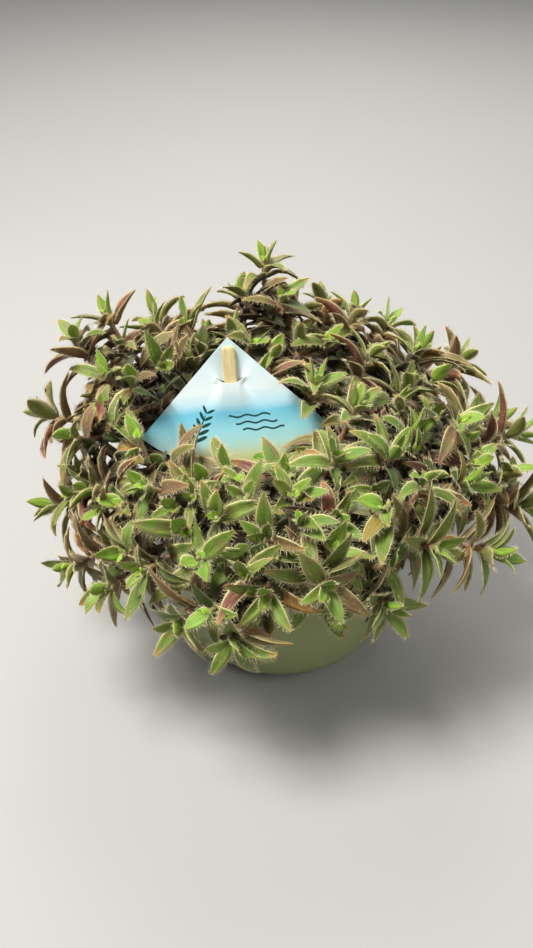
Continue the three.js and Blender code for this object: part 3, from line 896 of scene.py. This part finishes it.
def grown_leaves():
    """Between the leaves of the frame grow smaller ones, each turned to where there is most room."""
    for number in range(LAST_NUMBER + 1):
        tree = tree_of(all_leaves())
        for stem in stems:
            if number not in stem.numbers:
                continue
            i = stem.numbers.index(number)
            tries = beside_leaf(stem.leaves[i], stem.axes[i], stem.roots[i])
            best = roomiest(tries, tree, ROOM_BETWEEN_LEAVES)
            if best:
                best.red = redness(best.spine[-1], best.age)
                stem.leaves.append(best)


def add_buds(leaves, end, axis):
    """A stem ends in a few small rounded leaves, which face each other."""
    turn = rng.uniform(0, 2 * math.pi)
    for angle, scale in BUDS:
        angle = math.radians(angle) + turn + rng.normal(0, 0.15)
        made = patterned(0, axis, end - axis * MM, angle, scale, age=0.0, red=0.0).reshaped(0.2, 0.0, 1.5)
        if fits(made):
            leaves.append(made)


def bud_leaves():
    for stem in stems:
        add_buds(stem.leaves, stem.centres[-1], unit(stem.centres[-1] - stem.centres[-2]))


def bare_stem_leaves():
    """Older leaves down the bare part of each stem."""
    tree = tree_of(all_leaves())
    for stem in stems:
        low, high = stem.centres[1], stem.centres[4]
        count = int(np.linalg.norm(high - low) / BARE_STEM_SPACING)
        axis = unit(high - low)
        for j in range(count):
            share = (j + 0.6) / (count + 0.2)
            spot = np.array([np.interp(share, [0, 1 / 3, 2 / 3, 1], stem.centres[1:5, k]) for k in range(3)])
            best = roomiest(on_bare_stem(axis, spot), tree, ROOM_ON_BARE_STEM)
            if best:
                best.red = redness(best.spine[-1], 1.0) * 0.5 + 0.5
                stem.leaves.append(best)


class Twig:
    """A side shoot: its path, the stem it grows from, and its leaves with their numbers."""

    def __init__(self, parent, path):
        self.parent, self.path = parent, path
        self.leaves, self.numbers = [], []


def side_path(stem):
    """A short arched path from some point of a stem's bare part towards the outside."""
    share = rng.uniform(0.1, 1.0)
    i = 1 + min(2, int(share * 3))
    part = share * 3 - (i - 1)
    start = stem.centres[i] * (1 - part) + stem.centres[i + 1] * part
    along = unit(stem.centres[i + 1] - stem.centres[i])
    way = unit(rng.normal(0, 0.75, 3) + along * 0.7 + np.array([0, 0, 0.55]))
    length = rng.uniform(*SIDE_SHOOT_LENGTHS) * MM
    end = start + way * length
    last = unit(way + rng.normal(0, 0.35, 3) + [0, 0, 0.35])
    middle = end - last * length * 0.45
    t = np.linspace(0, 1, 9)[:, None]
    return start * (1 - t) ** 2 + 2 * middle * t * (1 - t) + end * t**2


def side_shoots():
    """Side shoots fill the room between stems. Of many tried, those with most room at their tips stay."""
    twigs = []
    for _ in range(SIDE_SHOOT_GROUPS):
        tree = tree_of(all_leaves(twigs))
        tried = []
        for stem in stems:
            for _ in range(SIDE_SHOOT_TRIES):
                path = side_path(stem)
                room = tree.find(path[-1] + unit(path[-1] - path[-2]) * 6 * MM)[2]
                if room > SIDE_SHOOT_ROOM and not meets_card(path) and not hides_card(path):
                    tried.append((room + rng.uniform(0, 2) * MM, len(tried), stem, path))
        tried.sort(reverse=True)
        chosen = []
        for room, _, stem, path in tried:
            if len(chosen) >= SIDE_SHOOTS / SIDE_SHOOT_GROUPS:
                break
            if any(np.linalg.norm(path[-1] - other.path[-1]) < TIPS_APART for other in chosen + twigs):
                continue
            twig = Twig(stem, path)
            grow_twig(twig, tree)
            if len(twig.leaves) >= LEAST_LEAVES and 0 in twig.numbers:
                add_buds(twig.leaves, path[-1], unit(path[-1] - path[-2]))
                chosen.append(twig)
        twigs += chosen
    return twigs


def grow_twig(twig, tree):
    """Leaves down a side shoot from its tip, closest together at the tip."""
    length = np.linalg.norm(np.diff(twig.path, axis=0), axis=1).sum()
    turn = rng.uniform(0, 2 * math.pi)
    size = rng.uniform(0.82, 1.08)
    for number in range(SIDE_SHOOT_LEAVES + 1):
        below = (1.5 * number + 0.22 * number**2) * MM
        share = 1 - below / length
        if share < 0.12:
            break
        place = share * (len(twig.path) - 1)
        i = min(int(place), len(twig.path) - 2)
        root = twig.path[i] * (1 - place + i) + twig.path[i + 1] * (place - i)
        axis = unit(twig.path[i + 1] - twig.path[i])
        tries = on_side_shoot(number, axis, root, turn + number * TURN_PER_LEAF, size)
        best = roomiest(tries, tree, ROOM_ON_BARE_STEM)
        if best:
            best.red = redness(best.spine[-1], best.age)
            twig.leaves.append(best)
            twig.numbers.append(number)


grown_leaves()
bud_leaves()
bare_stem_leaves()
twigs = side_shoots()


# Building leaves, stems and hairs

def blade_points(leaf):
    """The blade's ring of points at each station: its top from edge to edge, and its underside back."""
    t = STATIONS
    full = leaf.width * width_share(t) / 2
    fold = math.radians(LEAST_FOLD + MORE_FOLD * leaf.chance) * min(1, 0.4 + 2 * leaf.age)
    base = np.clip(1 - t / 0.3, 0, 1)
    half = full * math.cos(fold)
    depth = full * (math.sin(fold) + 0.3 * base)
    thick = BLADE_THICKNESS + THICKER_AT_ROOT * (leaf.width / LEAF_WIDTH) * np.sqrt(np.clip(1 - t, 0, 1))
    wave = 0.06 * half * np.sin(9 * t + 6 * leaf.chance)
    c = PROFILE[None, :]
    drop = depth[:, None] * (1 - np.abs(c) ** 1.4) + wave[:, None] * c
    drop = drop + IS_UNDER * thick[:, None] * (1 - c**2)
    return (
        leaf.spine[:, None, :]
        + leaf.across[:, None, :] * (half[:, None] * c)[..., None]
        + leaf.below[:, None, :] * drop[..., None]
    )


def capped(rows, columns):
    """Faces round the rings of a tube, and out to one point beyond its last ring and one before its first."""
    last = (rows - 1) * columns
    ends = rows * columns
    return [
        grid_faces(rows, columns),
        np.array([[last + i, last + (i + 1) % columns, ends] for i in range(columns)]),
        np.array([[(i + 1) % columns, i, ends + 1] for i in range(columns)]),
    ]


def cell_map(rows, columns, cell, middle):
    """Places in a cell of the piece's map for a capped tube's points."""
    u = np.concatenate([np.tile(np.arange(columns) / columns, rows), [middle, middle]])
    v = np.concatenate([np.repeat((np.arange(rows) + 1) / (rows + 1), columns), [1.0, 0.0]])
    return np.stack([cell[0] + u * cell[2], cell[1] + v * cell[3]], -1)


def add_leaf(shape, leaf, cell, shown):
    blade = blade_points(leaf)
    kept = FEW_STATIONS if leaf.is_extra else list(range(len(STATIONS)))
    points = blade[kept]
    rows, columns = points.shape[:2]
    tip = leaf.spine[-1] + (leaf.spine[-1] - leaf.spine[-2]) * 0.5
    base = points[0].mean(0)
    faces = [group[:, ::-1] for group in capped(rows, columns)]
    along = np.clip(STATIONS[kept], 0, 1)
    place = np.zeros((rows, columns, 3))
    place[..., 0] = PROFILE
    place[..., 1] = along[:, None]
    place[..., 2] = IS_UNDER
    place = np.concatenate([place.reshape(-1, 3), [[0, 1, 0]], [[0, 0, 0]]])
    uv = cell_map(rows, columns, cell, 0.4)
    everything = np.concatenate([points.reshape(-1, 3), [tip, base]])
    kind = (leaf.age, leaf.red, leaf.chance)
    shape.add(everything, faces, 0, uv, leaf_kind=kind, leaf_place=place, leaf_depth=(shown, 0, 0))
    return blade


def smooth_path(points, steps):
    """More points along a curve through the given ones."""
    points = np.asarray(points)
    before = np.concatenate([[2 * points[0] - points[1]], points[:-1]])
    after = np.concatenate([points[1:], [2 * points[-1] - points[-2]]])
    slope = (after - before) / 2
    made = []
    for i in range(len(points) - 1):
        for s in np.arange(steps) / steps:
            a = 2 * s**3 - 3 * s**2 + 1
            b = s**3 - 2 * s**2 + s
            made.append(a * points[i] + b * slope[i] + (1 - a) * points[i + 1] + (s**3 - s**2) * slope[i + 1])
    return np.array(made + [points[-1]])


def tube_rings(path, radii, sides):
    """Rings round a path, with no twist between them."""
    heading = unit(np.gradient(path, axis=0))
    first = unit(np.cross(heading[0], [0.3, 0.9, 0.1]))
    rings = []
    angles = circle(sides)
    for centre, ahead, radius in zip(path, heading, radii):
        first = square_to(ahead, first)
        second = np.cross(ahead, first)
        rings.append(centre + radius * (np.cos(angles)[:, None] * first + np.sin(angles)[:, None] * second))
    return np.array(rings)


def add_stem(shape, centres, widths, steps, cell):
    """The stem swells at each leaf's sheath."""
    path = smooth_path(centres, steps)
    radii = smooth_path(np.stack([widths] * 3, -1), steps)[:, 0] * STEM_SLIMMER
    phase = np.arange(len(path)) % steps / steps
    radii = radii * (1 + SHEATH_SWELL * phase)
    rings = tube_rings(path, radii, STEM_SIDES)
    rows = len(rings)
    share = np.linspace(1, 0, rows)
    place = np.zeros((rows, STEM_SIDES, 3))
    place[..., 0] = np.sin(circle(STEM_SIDES))
    place[..., 1] = np.linspace(0, rows / 4, rows)[:, None]
    kind = np.zeros((rows, STEM_SIDES, 3))
    kind[..., 0] = share[:, None]
    place = np.concatenate([place.reshape(-1, 3), [[0, rows / 4, 0], [0, 0, 0]]])
    kind = np.concatenate([kind.reshape(-1, 3), [[0, 0, 0], [1, 0, 0]]])
    uv = cell_map(rows, STEM_SIDES, cell, 0.5)
    everything = np.concatenate([rings.reshape(-1, 3), [path[-1]], [path[0]]])
    fields = {"leaf_kind": kind, "leaf_place": place, "leaf_depth": (0.4, 0, 0)}
    shape.add(everything, capped(rows, STEM_SIDES), 1, uv, **fields)
    return path, radii


class Hairs:
    """Fine tapering hairs, each a spike with a three-sided root."""

    def __init__(self):
        self.roots, self.ways, self.kinds, self.depths = [], [], [], []

    def add(self, roots, ways, kind, shown):
        self.roots.append(roots)
        self.ways.append(ways)
        self.kinds.append(np.broadcast_to(np.asarray(kind, float), roots.shape))
        self.depths.append(np.full((len(roots), 4, 3), shown))

    def piece(self, name, material):
        roots, ways, kinds = (np.concatenate(v) for v in (self.roots, self.ways, self.kinds))
        count = len(roots)
        heading = unit(ways)
        first = unit(np.cross(heading, [0.31, 0.52, 0.79]))
        second = np.cross(heading, first)
        points = []
        for angle in circle(3):
            points.append(roots + HAIR_RADIUS * (math.cos(angle) * first + math.sin(angle) * second))
        points.append(roots + ways)
        points = np.stack(points, 1)
        start = np.arange(count)[:, None] * 4
        faces = [start + np.array(f) for f in ([0, 1, 3], [1, 2, 3], [2, 0, 3], [2, 1, 0])]
        kind = np.repeat(kinds[:, None, :], 4, 1)
        kind[..., 2] = rng.random(count)[:, None]
        place = np.zeros((count, 4, 3))
        place[:, 3, 1] = 1
        side = int(math.ceil(math.sqrt(count)))
        cell = np.stack([np.arange(count) % side, np.arange(count) // side], -1) / side
        spots = np.array([[0.1, 0.1], [0.9, 0.1], [0.1, 0.4], [0.5, 0.9]]) / side
        uv = (cell[:, None, :] + spots).reshape(-1, 2)
        shape = Shape()
        fields = {"leaf_kind": kind, "leaf_place": place, "leaf_depth": np.concatenate(self.depths)}
        shape.add(points, faces, 0, uv, **{name: field.reshape(-1, 3) for name, field in fields.items()})
        return shape.piece(name, [material], "leaves", smooth=False)


def exposure(leaf, tree):
    """1 for a leaf on the outside of the plant, and less the more leaves lie just outside it."""
    middle = leaf.spine[6]
    outward = unit(middle - np.array([0, 0, 0.6 * POT_HEIGHT]))
    others = tree.find_range(middle + BALL_AWAY * outward, BALL_RADIUS)
    return max(0.0, 1 - len(others) / HIDDEN_BY)


def between_stations(values, t):
    """Values at a blade's stations, read between them."""
    i = np.minimum(t.astype(int), len(STATIONS) - 2)
    s = (t - i)[:, None]
    return values[i] * (1 - s) + values[i + 1] * s


def fringe(hairs, leaf, blade, shown):
    """Hairs along both edges of a blade, which point out and forward, and some on its two faces."""
    lengths = np.linalg.norm(np.diff(leaf.spine, axis=0), axis=1)
    spacing = FRINGE_SPACING / (0.3 + 0.7 * shown) * (1.15 if leaf.is_extra else 1)
    count = max(6, int(lengths.sum() / spacing))
    kind = (leaf.age, leaf.red, 0)
    heading = unit(np.gradient(leaf.spine, axis=0))
    size = 1.0 if leaf.age > 0.25 else 0.7
    for side, column in ((1, 0), (-1, len(TOP_PROFILE) - 1)):
        t = (np.arange(count) + rng.uniform(0, 1, count)) / count * (len(STATIONS) - 1)
        way = (
            side * 0.85 * between_stations(leaf.across, t)
            + rng.uniform(0.2, 0.7, (count, 1)) * between_stations(heading, t)
            + rng.normal(0, 0.22, (count, 3))
        )
        long = rng.uniform(*FRINGE_LENGTHS, (count, 1)) * (1 - 0.3 * t[:, None] / len(STATIONS)) * MM * size
        hairs.add(between_stations(blade[:, column], t), unit(way) * long, kind, shown)
    count = int(count * (0.2 + 0.8 * shown))
    t = rng.uniform(0.4, len(STATIONS) - 1.5, count)
    i = t.astype(int)
    s = (t - i)[:, None]
    column = rng.integers(0, len(PROFILE), count)
    after = (column + 1) % len(PROFILE)
    mixed = rng.random((count, 1))
    low = blade[i, column] * (1 - mixed) + blade[i, after] * mixed
    high = blade[i + 1, column] * (1 - mixed) + blade[i + 1, after] * mixed
    root = low * (1 - s) + high * s
    middle = between_stations(leaf.spine, t)
    normal = np.where(IS_UNDER[column][:, None] > 0, leaf.below[i], -leaf.below[i])
    way = 0.55 * normal + 0.7 * heading[i] + 0.25 * unit(root - middle) + rng.normal(0, 0.25, (count, 3))
    hairs.add(root, unit(way) * rng.uniform(*FACE_HAIR_LENGTHS, (count, 1)) * MM * size, kind, shown)


def stem_fringe(hairs, path, radii):
    """Short hairs all round a stem."""
    count = len(path) * STEM_HAIRS_PER_RING
    i = rng.integers(min(4, len(path) // 3), len(path) - 1, count)
    s = rng.random((count, 1))
    heading = unit(path[i + 1] - path[i])
    out = square_to(heading, rng.normal(0, 1, (count, 3)))
    root = path[i] * (1 - s) + path[i + 1] * s + out * radii[i][:, None] * 0.95
    way = out + 0.5 * heading + rng.normal(0, 0.2, (count, 3))
    # Stem hairs get a fixed share of painted shade.
    hairs.add(root, unit(way) * rng.uniform(*STEM_HAIR_LENGTHS, (count, 1)) * MM, (0.6, 0.5, 0), 0.4)


leaf_look = leaf_material()
stem_look = stem_material()
hair_look = hair_material()

middles = tree_from([leaf.spine[6] for leaf in all_leaves(twigs)])

for stem in stems:
    number = stem.node.split("_")[-1]
    shape, hairs = Shape(), Hairs()
    own_twigs = [twig for twig in twigs if twig.parent is stem]
    leaves = stem.leaves + [leaf for twig in own_twigs for leaf in twig.leaves]
    side = math.ceil(math.sqrt(len(leaves) + 1 + len(own_twigs)))
    room = 0.9 / side
    cells = [((i % side) / side, (i // side) / side, room, room) for i in range(side * side)]
    tubes = [(stem.centres, stem.radii, 4)]
    tubes += [(twig.path, np.linspace(*SIDE_SHOOT_RADII, len(twig.path)), 2) for twig in own_twigs]
    for (centres, widths, steps), cell in zip(tubes, cells):
        path, radii = add_stem(shape, centres, widths, steps, cell)
        stem_fringe(hairs, path, radii)
    for leaf, cell in zip(leaves, cells[len(tubes):]):
        # How exposed a leaf is sets how many hairs it grows, and how much painted shade darkens it and its
        # hairs.
        shown = exposure(leaf, middles)
        blade = add_leaf(shape, leaf, cell, shown)
        fringe(hairs, leaf, blade, shown)
    shape.piece(f"leafy_stem_{number}", [leaf_look, stem_look], "leaves", [stem.node])
    hairs.piece(f"hairs_{number}", hair_look)


# The pot

def wall_radius(height, inset):
    return RIM_RADIUS - (POT_HEIGHT - height) * math.tan(WALL_SLOPE) - inset / math.cos(WALL_SLOPE)


def foot_arc(inset, steps):
    radius = FOOT_ROUNDING - inset
    centre = wall_radius(FOOT_ROUNDING, FOOT_ROUNDING)
    angles = -math.pi / 2 + (math.pi / 2 - WALL_SLOPE) * np.arange(steps + 1) / steps
    return [(centre + radius * math.cos(a), FOOT_ROUNDING + radius * math.sin(a)) for a in angles]


def turned(outline, steps):
    """A solid of revolution from its half outline, whose first and last points lie near the axis."""
    angles = circle(steps)
    outline = np.array(outline)
    points = np.zeros((len(outline), steps, 3))
    points[..., 0] = outline[:, 0, None] * np.cos(angles)
    points[..., 1] = outline[:, 0, None] * np.sin(angles)
    points[..., 2] = outline[:, 1, None]
    ends = [list(range(steps))[::-1], list(range((len(outline) - 1) * steps, len(outline) * steps))]
    return points, [grid_faces(len(outline), steps), [ends[0]], [ends[1]]]


def make_pot():
    lip = WALL / 2
    centre = wall_radius(POT_HEIGHT - lip, lip)
    angles = math.pi * np.arange(9) / 8
    rim = [(centre + lip * math.cos(a), POT_HEIGHT - lip + lip * math.sin(a)) for a in angles]
    heights = np.linspace(FOOT_ROUNDING, POT_HEIGHT - 3 * MM, 14)[1:]
    outside = [(wall_radius(z, 0), z) for z in heights]
    inside = [(wall_radius(z, WALL), z) for z in heights[::-1]]
    foot = foot_arc(0, 14)
    recess = [(0.5 * MM, FOOT_RECESS), (foot[0][0] - 5 * MM, FOOT_RECESS), (foot[0][0] - 4.2 * MM, 0)]
    outline = recess + foot + outside + rim + inside + foot_arc(WALL, 12)[::-1] + [(0.5 * MM, WALL)]
    points, faces = turned(outline, POT_STEPS)
    shape = Shape()
    shape.add(points, faces)
    shape.piece("pot_shell", [pot_material()], "pot", ["pot"])


make_pot()


# The soil

def soil_height(x, y):
    share = np.minimum(1, np.hypot(x, y) / RIM_RADIUS)
    swell = 0.4 * MM * np.sin(x / (7 * MM)) * np.cos(y / (8 * MM))
    return SOIL_TOP + SOIL_MOUND * np.cos(math.pi / 2 * share) + swell


def make_soil(look):
    inset = WALL + SOIL_GAP
    edge = wall_radius(SOIL_TOP, inset) - SOIL_GAP
    outline = [(0.4 * MM, inset + 0.2 * MM), *foot_arc(inset + 0.2 * MM, 8)]
    outline += [(edge * share, SOIL_TOP) for share in np.linspace(1, 0.01, SOIL_RINGS)]
    points, faces = turned(outline, SOIL_STEPS)
    top = points[-SOIL_RINGS:]
    top[..., 2] = soil_height(top[..., 0], top[..., 1]) - 0.6 * MM
    top[1:-1] += rng.normal(0, SOIL_ROUGHNESS, top[1:-1].shape)
    shape = Shape()
    shape.add(points, faces)
    shape.piece("soil_bed", [look], "soil", ["soil"])


def make_crumbs(look):
    """Lumps of peat on the soil, each a small ball pushed out of round."""
    ball = bmesh.new()
    bmesh.ops.create_icosphere(ball, subdivisions=1, radius=1)
    sphere = np.array([v.co for v in ball.verts])
    faces = np.array([[v.index for v in f.verts] for f in ball.faces])
    ball.free()
    shape = Shape()
    for _ in range(CRUMBS):
        away = (wall_radius(SOIL_TOP, WALL) - 3.5 * MM) * math.sqrt(rng.random())
        angle = rng.uniform(0, 2 * math.pi)
        x, y = away * math.cos(angle), away * math.sin(angle)
        size = rng.uniform(*CRUMB_SIZES) * MM * rng.uniform(0.6, 1.2, 3)
        lump = sphere * (1 + rng.normal(0, 0.16, (len(sphere), 1))) * size
        lump = lump @ turn_about(unit(rng.normal(0, 1, 3)), rng.uniform(0, 3)).T
        shape.add(lump + [x, y, soil_height(x, y) - 0.3 * MM], [faces])
    shape.piece("soil_crumbs", [look], "soil")


soil_look = soil_material()
make_soil(soil_look)
make_crumbs(soil_look)


# The card and its stick

def eased(share):
    """A share from 0 to 1 with soft ends."""
    share = np.clip(share, 0, 1)
    return share * share * (3 - 2 * share)


def lip_lift(x, above_slit):
    half = SLIT_HALF_WIDTH + LIP_SPREAD * np.abs(above_slit)
    beside = eased((half - np.abs(x)) / (half - STICK_WIDTH * 0.58))
    return LIP_LIFT * beside * eased(1 - np.abs(above_slit) / LIP_REACH)


def slit_line(x):
    return SLIT_HEIGHT + SLIT_SAG * np.minimum(1, np.abs(x) / SLIT_HALF_WIDTH) ** 2


def card_sheet():
    """The card as two grids of points that share the line beside the slit: below it and above it."""
    columns, rows = 44, 20
    half = CARD_RADIUS - SLIT_HEIGHT - SLIT_SAG
    share = np.linspace(-1, 1, 2 * columns + 1)
    at_slit = np.stack([share * half, slit_line(share * half)], -1)
    turn = math.pi / 4 * share
    at_edge = np.stack([CARD_RADIUS * np.sin(turn), CARD_RADIUS * (1 - np.cos(turn))], -1)
    at_top = np.stack([share * 0.1 * MM, np.full(len(share), CARD_RADIUS)], -1)
    v = np.linspace(0, 1, rows)[:, None, None]
    lower = at_edge * (1 - v) + at_slit * v
    upper = at_slit * (1 - v) + at_top * v
    return lower, upper, share * half


def make_card():
    """The card's grids below and above the slit share the points of that line which lie outside the slit."""
    lower, upper, slit_x = card_sheet()
    flat = np.stack([lower, upper])
    lift = lip_lift(flat[..., 0], flat[..., 1] - SLIT_HEIGHT) * np.array([1, -1])[:, None, None]
    numbers = np.arange(lift.size).reshape(lift.shape)
    is_shared = np.abs(slit_x) >= SLIT_HALF_WIDTH
    numbers[1, 0, is_shared] = numbers[0, -1, is_shared]
    used = np.unique(numbers)
    numbers = np.searchsorted(used, numbers)
    corners = [numbers[:, :-1, :-1], numbers[:, :-1, 1:], numbers[:, 1:, 1:], numbers[:, 1:, :-1]]
    flat, lift = flat.reshape(-1, 2)[used], lift.reshape(-1, 1)[used]
    place = np.concatenate([flat / CARD_RADIUS, np.ones((len(flat), 1))], 1)
    shape = Shape()
    points = placed(card_frame, np.concatenate([flat, lift], 1))
    shape.add(points, [np.stack(corners, -1).reshape(-1, 4)], card_place=place)
    made = shape.piece("card_sheet", [card_material(), paper_material()], "card", ["tag_card"], smooth=False)
    thickness = made.modifiers.new("thickness", "SOLIDIFY")
    thickness.thickness = CARD_THICKNESS
    thickness.offset = 0
    thickness.material_offset = 1
    thickness.material_offset_rim = 1


make_card()


def squared(share):
    """Bends a circle's cosines or sines towards those of a square."""
    return np.sign(share) * np.abs(share) ** 0.35


def make_stick():
    """A flat stick with a rounded top end and a long point in the soil."""
    levels = np.concatenate([
        -STICK_BELOW_SLIT + 2 * STICK_WIDTH * np.linspace(0, 1, 8)[:-1],
        np.linspace(-STICK_BELOW_SLIT + 2 * STICK_WIDTH, STICK_ABOVE_SLIT - STICK_ROUNDING, 20),
        STICK_ABOVE_SLIT - STICK_ROUNDING * (1 - np.sin(np.linspace(0.2, 1, 7) * math.pi / 2)),
    ])
    point = np.clip((levels + STICK_BELOW_SLIT) / (2 * STICK_WIDTH), 0, 1)
    top = np.clip((levels - STICK_ABOVE_SLIT + STICK_ROUNDING) / STICK_ROUNDING, 0, 1)
    half = STICK_WIDTH / 2 * (0.3 + 0.7 * point) * (0.5 + 0.5 * np.sqrt(1 - 0.97 * top**2))
    angles = circle(STICK_SIDES)
    points = np.zeros((len(levels), STICK_SIDES, 3))
    points[..., 0] = half[:, None] * squared(np.cos(angles))
    points[..., 1] = levels[:, None]
    thick = STICK_THICKNESS / 2 * (1 - 0.35 * top**3)
    points[..., 2] = thick[:, None] * squared(np.sin(angles))
    place = points / STICK_WIDTH
    foot = np.arange(STICK_SIDES)
    top = foot[::-1] + (len(levels) - 1) * STICK_SIDES
    faces = [grid_faces(len(levels), STICK_SIDES)[:, ::-1], [foot], [top]]
    shape = Shape()
    shape.add(placed(stick_frame, points), faces, wood_place=place.reshape(-1, 3))
    shape.piece("stick_wood", [wood_material()], "stick", ["tag_stick"])


make_stick()


# Camera, floor and light, which aren't part of the object

def make_camera():
    data = bpy.data.cameras.new("camera")
    data.sensor_fit = "VERTICAL"
    data.sensor_height = SENSOR_HEIGHT
    data.lens = SENSOR_HEIGHT * FOCAL_PIXELS / PHOTO_HEIGHT
    data.clip_start = 0.01
    made = linked("camera", data)
    made.location = CAMERA_PLACE
    made.rotation_euler = (math.pi / 2 - CAMERA_PITCH, 0, 0)
    bpy.context.scene.camera = made


def make_floor():
    corners = np.array([(-1, -1, 0), (1, -1, 0), (1, 1, 0), (-1, 1, 0)]) * FLOOR_HALF_WIDTH
    mesh = bpy.data.meshes.new("floor")
    mesh.from_pydata(corners.tolist(), [], [(0, 1, 2, 3)])
    mesh.materials.append(floor_material())
    made = linked("floor", mesh)
    made.location.z = -0.2 * MM
    made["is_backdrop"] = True


def make_lamp(name, place, width, power):
    data = bpy.data.lights.new(name, "AREA")
    data.size = width
    data.energy = power
    made = linked(name, data)
    made.location = place
    made.rotation_euler = (PLANT_MIDDLE - Vector(place)).to_track_quat("-Z", "Y").to_euler()


def make_world():
    world = bpy.data.worlds.new("studio")
    world.use_nodes = True
    sky = world.node_tree.nodes["Background"]
    sky.inputs["Color"].default_value = colour("e8edf2")
    sky.inputs["Strength"].default_value = SKY_STRENGTH
    bpy.context.scene.world = world


make_camera()
make_floor()
for lamp in LAMPS:
    make_lamp(*lamp)
make_world()
bpy.context.scene.view_settings.view_transform = "Standard"

as_lists = lambda bounds: [list(corner) for corner in bounds]
{"cad": as_lists(cad_bounds), "visual": as_lists(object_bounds())}
